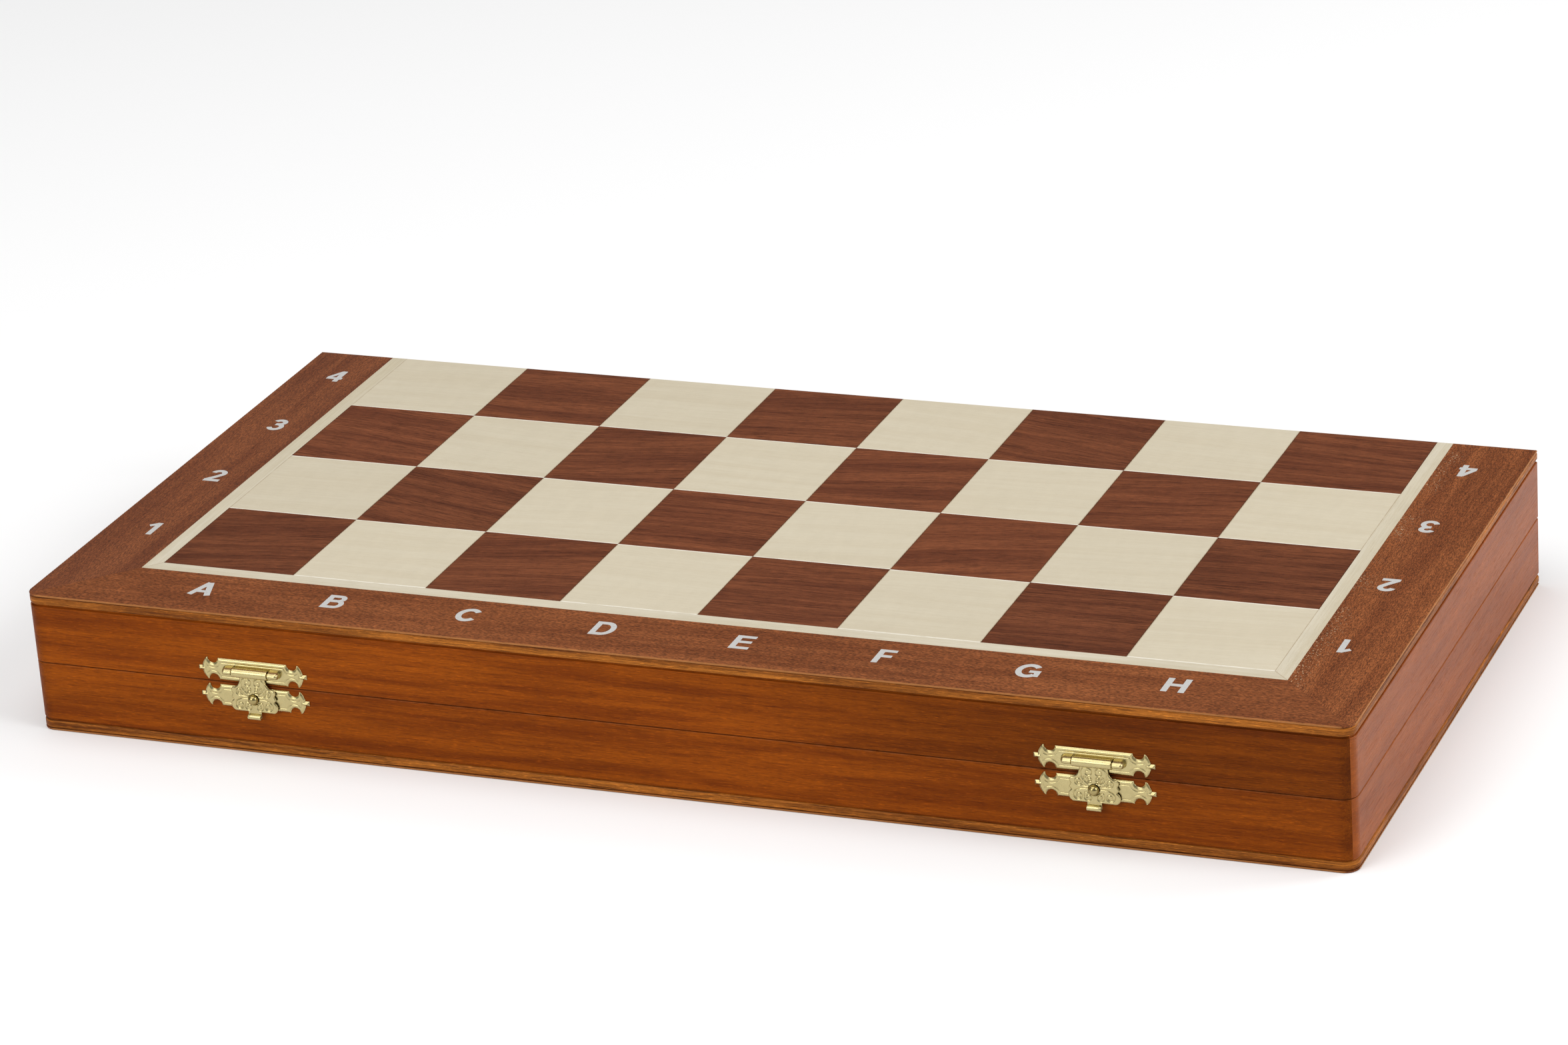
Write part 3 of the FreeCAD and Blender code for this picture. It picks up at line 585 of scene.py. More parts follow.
def make_light_squares():
    """Light squares: nearly plain pale veneer, with a painted highlight along the front and back joints and
    dull side joints.
    """
    material, nodes, shader = finish("maple_square_veneer", Specular_IOR_Level=0.07)
    grain = nodes.use(TILE_GRAIN, Vector=nodes.millimetres(), Tilt=8.0, Grid_X=GRID_X, Grid_Y=GRID_Y,
                      Length=1.0, Fineness=1.0, Wander=1.0)
    colour = stain(nodes, grain, shade(198, 187, 164), shade(202, 192, 170), shade(182, 167, 136),
                   streaks=0.14, pores=0.16, figure=0.014, flecks=0.02)
    colour = nodes.brighter(colour, nodes.spread(grain["Chance"], 0.02))
    # Painted highlight: a near-white line along each light square's front and back joints.
    colour = nodes.tinted(colour, grain["Seam"], 0.85, shade(240, 236, 224))
    colour = nodes.tinted(colour, grain["Joint"], 0.5, shade(128, 100, 60))
    lacquer(nodes, shader, grain, colour, rough=0.42, depth=0.02)
    return material


def make_stringing():
    """Stringing: a thin pale strip round the squares, with a faint line at its mitres."""
    material, nodes, shader = finish("maple_stringing_veneer", Specular_IOR_Level=0.07)
    grain = nodes.use(STRIP_GRAIN, Vector=nodes.millimetres(), Half_Length=STRING_WIDTH - GRID_X,
                      Front=GRID_Y - STRING_WIDTH, Length=1.6, Fineness=0.9, Wander=0.6)
    colour = stain(nodes, grain, shade(193, 182, 158), shade(203, 194, 174), shade(172, 155, 122),
                   streaks=0.2, pores=0.15, figure=0.02, flecks=0.03)
    colour = nodes.tinted(colour, grain["Joint"], 0.35, shade(140, 112, 80))
    lacquer(nodes, shader, grain, colour, rough=0.42, depth=0.02)
    return material


def make_border():
    """Border: red-brown veneer in short dashes, cooler on the left strip, with pale specks where it is worn
    beside the right stringing, and a painted highlight along its outer edge."""
    material, nodes, shader = finish("mahogany_border_veneer", Specular_IOR_Level=0.08)
    at = nodes.millimetres()
    x, y, _ = nodes.split(at)
    grain = nodes.use(STRIP_GRAIN, Vector=at, Half_Length=HALF_X, Front=FRONT, Length=0.8, Fineness=0.9,
                      Wander=1.5)
    colour = stain(nodes, grain, shade(113, 61, 31), shade(137, 79, 43), shade(66, 32, 18),
                   streaks=0.3, pores=0.5, figure=0.05, flecks=0.3)
    colour = nodes.brighter(colour, nodes.fade(grain["Dash"], 0.36, 0.64, 0.58, 1.36))
    colour = nodes.tinted(colour, nodes.less(grain["Side"], grain["Right"]), 0.3, shade(84, 50, 42))
    colour = nodes.tinted(colour, grain["Joint"], 0.18, shade(70, 36, 24))
    speck = nodes.fade(nodes.noise(at, (1.7, 1.7, 1.7), 2.0, 0.5), 0.62, 0.68)
    worn = nodes.fade(nodes.noise(at, (0.03, 0.03, 0.03), 2.0, 0.5), 0.42, 0.55)
    beside = nodes.fade(x, STRING_WIDTH - GRID_X + 2.0, STRING_WIDTH - GRID_X + 9.0, 1.0, 0.0)
    lost = nodes.times(nodes.times(speck, worn), nodes.times(beside, grain["Right"]))
    colour = nodes.tinted(colour, lost, 0.75, shade(214, 186, 150))
    # Painted highlight: a thin, broken golden line along the border's outer edge.
    edge = nodes.calc("MINIMUM", nodes.less(HALF_X, nodes.calc("ABSOLUTE", x)), nodes.less(y, FRONT))
    wear_and_highlight = nodes.use(EDGE_WEAR_AND_HIGHLIGHT, Vector=at, Distance=edge, Width=0.4)
    colour = nodes.tinted(colour, wear_and_highlight["Wear_And_Highlight"], 0.7, shade(176, 118, 66))
    lacquer(nodes, shader, grain, colour, rough=0.4, depth=0.03)
    return material


def painted_shade_to_right(nodes, colour, x, z):
    """Painted shade on the front rails: both darken to the right as the front light falls off, the lid's
    more; the base's rail is a little darker all along, and both are darker near their corners.
    """
    darkest = nodes.fade(z, SEAM - 0.1, SEAM + 0.1, 0.88, 0.6)
    share = nodes.fade(nodes.sloped(z, 1.6, x), 40.0, 180.0)
    darker = nodes.sloped(share, nodes.less(darkest, 1.0), 1.0)
    lower = nodes.fade(z, SEAM - 0.1, SEAM + 0.1, 0.94, 1.0)
    colour = nodes.brighter(colour, nodes.times(darker, lower))
    corner = nodes.fade(nodes.calc("ABSOLUTE", x), HALF_X - 7.0, HALF_X - 1.5, 1.0, 0.72)
    return nodes.brighter(colour, corner)


def make_rail(name, along_y, gloss):
    """Stained rail: fine streaks and pale flecks along its length, slow patches, and a rim lighter along
    the seam."""
    material, nodes, shader = finish(name, Specular_IOR_Level=gloss)
    at = nodes.millimetres()
    x, y, z = nodes.split(at)
    lay = nodes.joined(y, nodes.sloped(x, 0.3, 431.0), z) if along_y else at
    dark, light, streaks = shade(120, 54, 6), shade(152, 75, 10), 0.42
    if along_y:
        dark, light, streaks = shade(130, 62, 12), shade(146, 74, 18), 0.14
    grain = nodes.use(WOOD_GRAIN, Vector=lay, Length=0.8, Fineness=1.3, Wander=1.2)
    colour = stain(nodes, grain, dark, light, shade(70, 27, 5), streaks, pores=0.3, figure=0.03, flecks=0.45)
    patches = nodes.noise(lay, (0.013, 0.02, 0.05), 2.0, 0.5)
    colour = nodes.brighter(colour, nodes.fade(patches, 0.35, 0.65, 0.95, 1.05))
    # Painted shade: the front rails darken towards the right.
    if not along_y:
        colour = painted_shade_to_right(nodes, colour, x, z)
    # Lighter along the rim at the seam.
    rim = nodes.calc("ABSOLUTE", nodes.less(z, SEAM))
    wear_and_highlight = nodes.use(EDGE_WEAR_AND_HIGHLIGHT, Vector=at, Distance=rim, Width=0.5)
    colour = nodes.tinted(colour, wear_and_highlight["Wear_And_Highlight"], 0.5, shade(178, 110, 66))
    lacquer(nodes, shader, grain, colour, rough=0.36, depth=0.03)
    return material


def make_panel():
    """Stained bead: fine golden streaks along the edge of the panel."""
    material, nodes, shader = finish("stained_panel_edge", Specular_IOR_Level=0.08)
    x, y, z = nodes.split(nodes.millimetres())
    lay = nodes.joined(nodes.calc("ADD", x, y), nodes.times(z, 2.2), 0.0)
    grain = nodes.use(WOOD_GRAIN, Vector=lay, Length=1.0, Fineness=0.8, Wander=0.3)
    colour = stain(nodes, grain, shade(106, 54, 13), shade(180, 108, 38), shade(50, 20, 7),
                   streaks=0.85, pores=0.3, figure=0.04, flecks=1.3)
    lacquer(nodes, shader, grain, colour, rough=0.38, depth=0.03)
    return material


def make_turned_wood(name, dark, light, streak, streaks, rough, rub):
    """Turned and polished wood: grain along the lying piece, and its rings rubbed a little lighter
    or darker."""
    material, nodes, shader = finish(name, Specular_IOR_Level=0.35, Coat_Weight=0.15, Coat_Roughness=0.18)
    at = nodes.millimetres()
    x, y, z = nodes.split(at)
    grain = nodes.use(WOOD_GRAIN, Vector=nodes.joined(y, x, z), Length=0.7, Fineness=1.1, Wander=1.5)
    colour = stain(nodes, grain, dark, light, streak, streaks, pores=0.2, figure=0.04, flecks=0.15)
    ridge = nodes.fade(nodes.pointiness(), 0.50, 0.58)
    wear_and_highlight = nodes.use(EDGE_WEAR_AND_HIGHLIGHT, Vector=at, Distance=nodes.less(1.0, ridge), Width=1.0)
    colour = nodes.tinted(colour, wear_and_highlight["Wear_And_Highlight"], 0.5, rub)
    lacquer(nodes, shader, grain, colour, rough, depth=0.02)
    return material


def make_brass(name, metal, tarnish, rough):
    """Satin brass: brushed along x, dull in patches, darker in its engraved lines and brighter on
    its ridges."""
    material, nodes, shader = finish(name, Metallic=1.0)
    wear_and_highlight = nodes.use(METAL_WEAR, Vector=nodes.millimetres(), Pointiness=nodes.pointiness())
    colour = nodes.tinted(metal, wear_and_highlight["Dull"], 0.1, tarnish)
    colour = nodes.tinted(colour, wear_and_highlight["Hollow"], 0.7, tarnish)
    colour = nodes.brighter(colour, nodes.sloped(wear_and_highlight["Bright"], 0.15, 1.0))
    nodes.surface(shader, colour, nodes.sloped(wear_and_highlight["Dull"], 0.08, rough), wear_and_highlight["Lines"], 0.006)
    return material


def make_cloth(name, deep, pale, fibre, depth, sheen):
    """Cloth with a nap: its patches and fibres run between two colours, with a soft sheen."""
    material, nodes, shader = finish(name, Sheen_Weight=sheen, Sheen_Roughness=0.45, Specular_IOR_Level=0.1)
    nap = nodes.use(NAP, Vector=nodes.millimetres(), Fibre=fibre)
    colour = nodes.mixed(nap["Patches"], deep, pale)
    colour = nodes.brighter(colour, nodes.spread(nap["Fibres"], 0.45))
    colour = nodes.tinted(colour, nap["Lint"], 0.35, shade(150, 160, 140))
    nodes.surface(shader, colour, nodes.sloped(nap["Patches"], 0.1, 0.85), nap["Fibres"], depth)
    return material


def make_ink():
    """Silver printing ink: fine flakes, worn duller in patches."""
    material, nodes, shader = finish("silver_ink", Metallic=0.35)
    at = nodes.millimetres()
    flakes = nodes.noise(at, (6.0, 6.0, 6.0), 2.0, 0.6)
    worn = nodes.noise(at, (0.8, 0.8, 0.8), 4.0, 0.6)
    colour = nodes.mixed(nodes.fade(worn, 0.45, 0.8), shade(218, 217, 214), shade(196, 193, 188))
    colour = nodes.brighter(colour, nodes.spread(flakes, 0.05))
    nodes.surface(shader, colour, nodes.fade(worn, 0.3, 0.7, 0.34, 0.5), flakes, 0.01)
    return material


DARK_SQUARES = make_dark_squares()
LIGHT_SQUARES = make_light_squares()
STRINGING = make_stringing()
BORDER = make_border()
LONG_RAIL = make_rail("stained_rail_long", along_y=False, gloss=0.05)
SIDE_RAIL = make_rail("stained_rail_side", along_y=True, gloss=0.15)
PANEL = make_panel()
BOXWOOD = make_turned_wood("boxwood", shade(203, 164, 105), shade(226, 194, 140), shade(166, 120, 66),
                           streaks=0.35, rough=0.3, rub=shade(236, 210, 162))
EBONISED = make_turned_wood("ebonised_wood", shade(38, 24, 18), shade(62, 40, 30), shade(18, 12, 10),
                            streaks=0.5, rough=0.26, rub=shade(96, 66, 48))
LATCH_BRASS = make_brass("latch_brass", shade(194, 180, 130), shade(108, 95, 58), rough=0.25)
# Painted shade: the stud's brass is the latch brass made darker.
STUD_BRASS_SHADED = make_brass("stud_brass_shaded", shade(170, 154, 104), shade(100, 86, 52), rough=0.2)
HINGE_BRASS = make_brass("hinge_brass", shade(200, 168, 98), shade(112, 84, 42), rough=0.3)
HINGE_STEEL = make_brass("hinge_steel", shade(186, 176, 152), shade(96, 86, 70), rough=0.28)
VELVET = make_cloth("tray_velvet", shade(10, 50, 30), shade(22, 70, 42), fibre=4.0, depth=0.08, sheen=0.15)
LINING_FELT = make_cloth("lining_felt", shade(16, 62, 38), shade(26, 80, 50), fibre=2.2, depth=0.12,
                         sheen=0.35)
PAD_FELT = make_cloth("pad_felt", shade(18, 78, 44), shade(30, 98, 58), fibre=2.6, depth=0.12, sheen=0.35)
INK = make_ink()


def finish_nodes():
    """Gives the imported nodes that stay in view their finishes, by how their names end."""
    finishes = {
        "border_veneer": BORDER, "stringing": STRINGING, "dark_squares": DARK_SQUARES,
        "light_squares": LIGHT_SQUARES, "front_rail": LONG_RAIL, "back_rail": LONG_RAIL,
        "left_rail": SIDE_RAIL, "right_rail": SIDE_RAIL, "_panel": PANEL, "_leaf": HINGE_BRASS,
        "hasp_pin": LATCH_BRASS, "_pin": HINGE_STEEL, "_screws": HINGE_STEEL,
    }
    for name, node in frame["nodes"].items():
        material = next((finishes[ending] for ending in finishes if name.endswith(ending)), None)
        if material:
            node.data.materials.clear()
            node.data.materials.append(material)


finish_nodes()


# Coordinates printed on the border

INK_PROUD = 0.03
INK_SUNK = 0.05
INK_LAP = 0.004

# Where the first figures and the first letter stand, and the steps between them
LEFT_FIGURE = (GRID_X - 18.6, GRID_Y + SQUARE / 2 + 1.7)
LEFT_STEP = 49.75
RIGHT_FIGURE = (-GRID_X + 16.7, GRID_Y + SQUARE / 2 - 1.3)
RIGHT_STEP = 50.33
FIRST_LETTER = (GRID_X + SQUARE / 2 - 0.2, GRID_Y - 17.6)
LETTER_STEP = 49.67
BASE_LETTER_SHIFT = 1.5

# The strokes of a plain bold letter or figure 10.3 mm tall about its middle: each one's width, then its
# parts. Two or four numbers are points, and six or seven are a bow's middle, radii, angles and point count.
STEM = 5.15
GLYPHS = {
    "A": [(2.15, (-3.35, -STEM, -0.1, STEM)), (2.15, (3.35, -STEM, 0.1, STEM)),
          (1.8, (-2.4, -2.0, 2.4, -2.0))],
    "B": [(2.1, (-2.75, -STEM, -2.75, STEM)),
          (1.85, (-2.2, 4.25, 0.5, 4.25), (0.5, 2.45, 1.75, 1.8, 85, -85), (0.5, 0.62, -2.2, 0.62)),
          (1.85, (-2.2, 0.55, 0.75, 0.55), (0.75, -1.85, 2.15, 2.4, 85, -85), (0.75, -4.25, -2.2, -4.25))],
    "C": [(2.05, (0.05, 0, 3.3, 4.12, 38, 322, 44))],
    "D": [(2.1, (-3.0, -STEM, -3.0, STEM)),
          (1.95, (-2.4, 4.2, -0.2, 4.2), (-0.2, 0, 3.25, 4.2, 86, -86), (-0.2, -4.2, -2.4, -4.2))],
    "E": [(2.1, (-2.45, -STEM, -2.45, STEM)), (1.8, (-2.2, 4.25, 3.35, 4.25)), (1.75, (-2.2, 0.3, 3.0, 0.3)),
          (1.8, (-2.2, -4.25, 3.5, -4.25))],
    "F": [(2.1, (-2.0, -STEM, -2.0, STEM)), (1.8, (-1.8, 4.25, 3.1, 4.25)), (1.75, (-1.8, 0.15, 2.5, 0.15))],
    "G": [(2.05, (0.0, 0, 3.35, 4.12, 40, 318, 44)), (1.75, (0.3, -0.45, 4.2, -0.45)),
          (1.9, (3.25, -0.4, 3.25, -4.1))],
    "H": [(2.1, (-2.9, -STEM, -2.9, STEM)), (2.1, (2.9, -STEM, 2.9, STEM)), (1.85, (-2.6, 0.2, 2.6, 0.2))],
    "1": [(2.05, (0.95, -STEM, 0.95, STEM)), (1.75, (0.9, 4.55, -2.05, 2.35))],
    "2": [(1.95, (0.05, 2.2, 2.15, 2.0, 172, -28), (0.4, -0.9, -2.2, -3.9)), (1.9, (-3.1, -4.2, 3.1, -4.2))],
    "3": [(1.9, (-0.1, 2.45, 2.0, 1.78, 160, -60), (0.0, 0.55)),
          (1.9, (-1.1, 0.55), (-0.1, -1.85, 2.25, 2.38, 88, -165))],
    "4": [(2.0, (1.35, -STEM, 1.35, STEM)), (1.8, (-3.2, -1.95, 3.1, -1.95)),
          (1.75, (0.85, 4.4, -2.55, -1.4))],
    "5": [(1.8, (-1.9, 4.25, 2.7, 4.25)), (1.8, (-1.55, 4.6, -2.0, -0.2)),
          (1.9, (-0.1, -1.8, 2.3, 2.4, 140, -160))],
    "6": [(1.9, (0.1, -1.8, 2.2, 2.4, 0, 360, 40)), (1.9, (0.35, -0.9, 2.5, 5.1, 178, 62))],
    "7": [(1.8, (-3.1, 4.25, 3.1, 4.25)),
          (2.0, spline([(2.3, 4.0), (0.6, 1.3), (-0.5, -1.8), (-0.85, -STEM)], 24))],
    "8": [(1.85, (0, 2.5, 1.8, 1.72, 0, 360, 36)), (1.9, (0, -1.95, 2.2, 2.25, 0, 360, 40))],
}


def bow(x, y, rx, ry, start, end, count=28):
    """Points on an ellipse about (x, y), from one angle to another in degrees."""
    angle = np.radians(np.linspace(start, end, count))
    return np.stack([x + rx * np.cos(angle), y + ry * np.sin(angle)], 1)


def stroke_part(part):
    """The points of one part of a stroke."""
    if np.ndim(part) == 1 and len(part) > 4:
        return bow(*part)
    return np.reshape(np.array(part, float), (-1, 2))


def glyph(sign, x, y, upside_down, to_face):
    """A printed sign: each stroke's middle line is widened both ways and given the ink's thickness."""
    way = -1 if upside_down else 1
    shells = []
    for order, (width, *parts) in enumerate(GLYPHS[sign]):
        line = np.concatenate([stroke_part(part) for part in parts])
        closed = len(line) > 30 and np.allclose(line[0], line[-1])
        points = line[:-1] if closed else line
        side = sideways(points, width / 2, closed)
        edges = np.stack([points + side, points - side], 1) * way + (x, y)
        heights = np.full(edges.shape[:2] + (1,), INK_PROUD - INK_LAP * order)
        face = np.concatenate([edges, heights], -1)
        back = np.concatenate([edges[:, ::-1], 0 * heights - INK_SUNK], -1)
        rings = np.concatenate([face, back], 1)
        points, faces = looped(rings) if closed else capped(rings)
        shells.append((to_face(points), faces))
    return shells


def lid_face(points):
    """Signs set out flat, lifted to the lid's outer face."""
    return points + (0, 0, TOP)


def base_face(points):
    """Signs set out flat on the open board's far half, turned over with it to the base's outer face."""
    return points * (1, -1, -1) + (0, 2 * HINGE_Y, 0)


def near_signs():
    """The lid's signs: figures up both sides, the right ones upside down, and letters along the front."""
    signs = []
    for rank in range(4):
        for (x, y), step, upside_down in ((LEFT_FIGURE, LEFT_STEP, False), (RIGHT_FIGURE, RIGHT_STEP, True)):
            signs.append((str(rank + 1), x, y + step * rank, upside_down))
    for file, letter in enumerate("ABCDEFGH"):
        signs.append((letter, FIRST_LETTER[0] + LETTER_STEP * file, FIRST_LETTER[1], False))
    return signs


def far_signs():
    """The base's signs mirror the lid's across the hinge, with the figures counted on, and letters turned."""
    signs = []
    for sign, x, y, upside_down in near_signs():
        if sign.isdigit():
            signs.append((str(9 - int(sign)), x, 2 * HINGE_Y - y, upside_down))
        else:
            signs.append((sign, x + BASE_LETTER_SHIFT, 2 * HINGE_Y - y, True))
    return signs


for half, half_signs, half_face in (("lid", near_signs(), lid_face), ("base", far_signs(), base_face)):
    sign_shells = [shell for sign in half_signs for shell in glyph(*sign, half_face)]
    piece(half + "_coordinates", sign_shells, half, INK, crease=30)


# Latches

def on_front(x, u, v, w):
    """Points of a latch centred at x: u to the right, v above the seam, w out from the front face."""
    u, v, w = np.broadcast_arrays(u, v, w)
    return np.stack([x + u, FRONT - w, SEAM + v], -1)


def plate_half(u):
    """Half the height of a plate at u: straight, a round bite, a horn that falls to the shoulder, a prong."""
    u = np.abs(u)
    bite = PLATE_HALF - np.sqrt(np.clip(BITE**2 - (u - BITE_U) ** 2, 0, None))
    fall = np.clip((u - HORN_U) / (SHOULDER_U - HORN_U), 0, 1)
    horn = PLATE_HALF + (SHOULDER_HALF - PLATE_HALF) * (fall - 0.12 * np.sin(math.pi * fall))
    nose = np.clip((u - PRONG_U + PRONG_HALF) / PRONG_HALF, 0, 1)
    prong = PRONG_HALF * (1 - 0.1 * nose**4)
    where = [np.abs(u - BITE_U) < BITE, u < HORN_U, u <= SHOULDER_U]
    return np.select(where, [bite, PLATE_HALF + 0 * u, horn], prong)


def wing_stations():
    """Stations from the window's edge to the prong's end, close together where the plate's edge turns."""
    bite = BITE_U - BITE * np.cos(np.linspace(0, math.pi, 44))
    return np.unique(np.concatenate([
        np.linspace(WINDOW_U, BITE_U - BITE, 44), bite, np.linspace(BITE_U + BITE, HORN_U, 4),
        np.linspace(HORN_U, SHOULDER_U, 15), [SHOULDER_U + 0.01],
        np.linspace(SHOULDER_U + 0.1, PRONG_U, 14)]))


def plate_outline(centre):
    """The plate's edge as a finely set line: its top and bottom, its prongs' ends and its
    shoulders' steps."""
    u = np.concatenate([np.linspace(0, WINDOW_U, 60), wing_stations()])
    half = plate_half(u)
    end = np.linspace(-1, 1, 12) * half[-1]
    step = np.linspace(PRONG_HALF, SHOULDER_HALF, 5)
    lines = [np.stack([a * (PRONG_U + 0 * end), centre + end], 1) for a in (-1, 1)]
    for a in (-1, 1):
        for b in (-1, 1):
            lines.append(np.stack([a * u, centre + b * half], 1))
            lines.append(np.stack([a * (SHOULDER_U + 0 * step), centre + b * step], 1))
    return np.concatenate(lines)


def plate_relief(u, v, centre, edge, loops):
    """Height of a plate: a quarter curve up from its edge, a fine line pressed round it, a crease along each
    prong, and on the lid plate the two loops, half ellipses across that close in a quarter ball."""
    gap = gap_to(u, v, edge)
    rounding = np.sin(np.clip(gap / EDGE_ROUND, 0, 1) * math.pi / 2)
    height = PLATE_THICK * (EDGE_SHARE + (1 - EDGE_SHARE) * rounding)
    height -= PRESSED_DEEP * np.exp(-((gap - PRESSED_IN) / PRESSED_WIDE) ** 2)
    crease = np.exp(-((v - centre) / CREASE_WIDE) ** 2) * np.clip((np.abs(u) - CREASE_U) / 0.8, 0, 1)
    height += CREASE_HIGH * crease
    if loops:
        closing = np.clip((np.abs(u) - LOOP_END + LOOP) / LOOP, 0, 1)
        inside = np.clip(1 - ((v - AXIS_V) / LOOP) ** 2 - closing**2, 0, 1)
        rise = (AXIS_W + LOOP - PLATE_THICK) * np.sqrt(inside)
        height = np.maximum(height, np.where(inside > 0, PLATE_THICK - 0.05, 0) + rise)
    return height


def plate_part(x, u, low, high, centre, loops, count):
    """A strip of plate: at each u its face runs from low to high over the relief, and back flat on
    the wood."""
    share = np.linspace(0, 1, count)[None]
    low, high = low + 0 * u, high + 0 * u
    uu = np.repeat(u[:, None], count, 1)
    vv = low[:, None] * (1 - share) + high[:, None] * share
    face = on_front(x, uu, vv, plate_relief(uu, vv, centre, plate_outline(centre), loops))
    back = on_front(x, uu[:, :2], np.stack([high, low], 1), 0.0)
    return capped(np.concatenate([face, back], 1))


def plate_shells(x, centre, loops):
    """A latch plate: two wings, and between them one strip, or two round the lid plate's window."""
    wing = wing_stations()
    half = plate_half(wing)
    shells = [plate_part(x, a * wing, centre - half, centre + half, centre, loops, 81) for a in (-1, 1)]
    strips = [(centre - PLATE_HALF, centre + PLATE_HALF, 81)]
    if loops:
        strips = [(centre - PLATE_HALF, WINDOW_LOW, 40), (WINDOW_HIGH, centre + PLATE_HALF, 34)]
    middle = np.linspace(-WINDOW_U, WINDOW_U, 80)
    return shells + [plate_part(x, middle, low, high, centre, False, count) for low, high, count in strips]


def hasp_side():
    """The right edge of the hasp from its barrel down to the middle of its lower edge."""
    return even(drawn(
        (5.9, 5.1), (4.9, 3.6, 4.8, 2.2), (5.5, 0.4, 7.9, -0.9), (8.3, -1.9, 7.8, -3.0), (8.5, -4.4),
        (7.6, -5.3), (8.8, -7.4, 7.3, -9.4), (0.0, -9.4)), 0.08)


def scroll(root, bend, centre, size, start, sweep):
    """One engraved scroll: a stem that bends out from its root, then a spiral that narrows to its centre."""
    t = np.linspace(0, 1, 90)
    angle = np.radians(start + sweep * t)
    radius = size * (1 - 0.72 * t)
    spiral = np.array(centre) + radius[:, None] * np.stack([np.cos(angle), np.sin(angle)], 1)
    t = np.linspace(0, 1, 40)[:, None]
    stem = (1 - t) ** 2 * np.array(root) + 2 * t * (1 - t) * np.array(bend) + t**2 * spiral[0]
    return np.concatenate([stem, spiral])


def engraving():
    """The scrolls of the hasp's right half, finely set; the left half mirrors them."""
    lines = [
        spline([(0.9, -2.5), (2.0, -2.6), (3.7, -1.0), (4.3, 1.0), (3.8, 2.5), (2.3, 3.05), (0.8, 2.3),
                (0.7, 0.95), (1.7, 0.3), (2.7, 0.8), (2.6, 1.7), (1.9, 1.75)], 200),
        scroll((0.7, -2.55), (1.9, -2.5), (1.3, -1.2), 0.95, -30, 470),
        scroll((1.9, -3.4), (3.3, -3.9), (5.3, -2.0), 1.45, -115, 470),
        scroll((2.2, -4.5), (4.4, -4.3), (5.3, -7.0), 2.0, 82, -470),
        scroll((1.7, -6.0), (3.5, -5.2), (2.0, -7.4), 1.55, 30, -450),
        scroll((3.5, -1.9), (3.3, -1.6), (3.0, -0.6), 0.55, -80, 330),
        scroll((3.0, -3.3), (4.1, -3.5), (4.0, -2.5), 0.5, -70, 320),
        bow(5.6, -7.3, 1.0, 0.75, 200, 330, 30),
        bow(5.2, 0.2, 0.9, 1.6, 120, 215, 30),
    ]
    return np.concatenate([even(line, 0.07) for line in lines])


SCROLLS = engraving()
HASP_SIDE = hasp_side()
HASP_EDGE = np.concatenate([HASP_SIDE, HASP_SIDE * (-1, 1)])


def hasp_face(u, v):
    """Height of the hasp's face: rounded off at its edge, engraved with the scrolls, rising to the barrel."""
    gap = gap_to(u, v, HASP_EDGE)
    height = HASP_FACE - HASP_DROP * (1 - np.sin(np.clip(gap / HASP_ROUND, 0, 1) * math.pi / 2))
    height -= CUT_DEEP * np.exp(-((gap_to(np.abs(u), v, SCROLLS)) / CUT_WIDE) ** 2)
    rise = np.clip((v - RISE_V) / (HASP_TOP - RISE_V), 0, 1)
    return height + RISE * rise**2


def hasp_body(x):
    """The hasp's sheet: a ray from the stud's hole to every point of the edge, over the face, and
    back flat."""
    right = HASP_SIDE[HASP_SIDE[:, 1] <= HASP_TOP]
    top = np.stack([np.linspace(0, right[0, 0], 60, endpoint=False), np.full(60, HASP_TOP)], 1)
    right = even(np.concatenate([top, right]), 0.1)
    ends = np.concatenate([right, (right * (-1, 1))[-2:0:-1]])
    hole = np.array([0.0, HOLE_V])
    rays = ends - hole
    starts = hole + HOLE * rays / np.linalg.norm(rays, axis=1, keepdims=True)
    out = np.linspace(0, 1, 76)[None, :, None]
    grid = starts[:, None] * (1 - out) + ends[:, None] * out
    uu, vv = grid[..., 0], grid[..., 1]
    face = on_front(x, uu, vv, hasp_face(uu, vv))
    back = on_front(x, uu[:, [-1, 0]], vv[:, [-1, 0]], HASP_BACK)
    return looped(np.concatenate([face, back], 1))


def barrel_shell(x):
    """The rolled barrel: a ring section with rounded rims, carried round the pin."""
    half = [(BARREL_HALF, BARREL), (BARREL_HALF, PIN_BORE)]
    corners = np.concatenate([np.array(half[::-1]) * (-1, 1), half])
    u, radius = eased(corners, 0.12, 0.12).T[:, None]
    angle = np.linspace(0, 2 * math.pi, 64, endpoint=False)[:, None]
    return looped(on_front(x, u, AXIS_V + radius * np.sin(angle), AXIS_W + radius * np.cos(angle)))


def lip_shell(x):
    """The finger lip: the hasp's sheet runs on down and rolls forward, one section carried across
    its width."""
    angle = np.radians(np.linspace(-90, 190, 40))
    middle = np.concatenate([
        np.stack([np.linspace(-8.9, LIP_V, 12)[:-1], np.full(11, LIP_W - LIP_ROLL)], 1),
        np.stack([LIP_V - LIP_ROLL * np.cos(angle), LIP_W + LIP_ROLL * np.sin(angle)], 1)])
    side = sideways(middle, LIP_THICK_HALF)
    section = np.concatenate([side, -side[::-1]])
    across = np.array([-1, -0.96, -0.5, 0, 0.5, 0.96, 1])[:, None] * LIP_HALF
    shrink = np.array([0.86, 1, 1, 1, 1, 1, 0.86])[:, None]
    v, w = np.concatenate([middle, middle[::-1]]).T[:, None] + section.T[:, None] * shrink
    return capped(on_front(x, across, v, w))


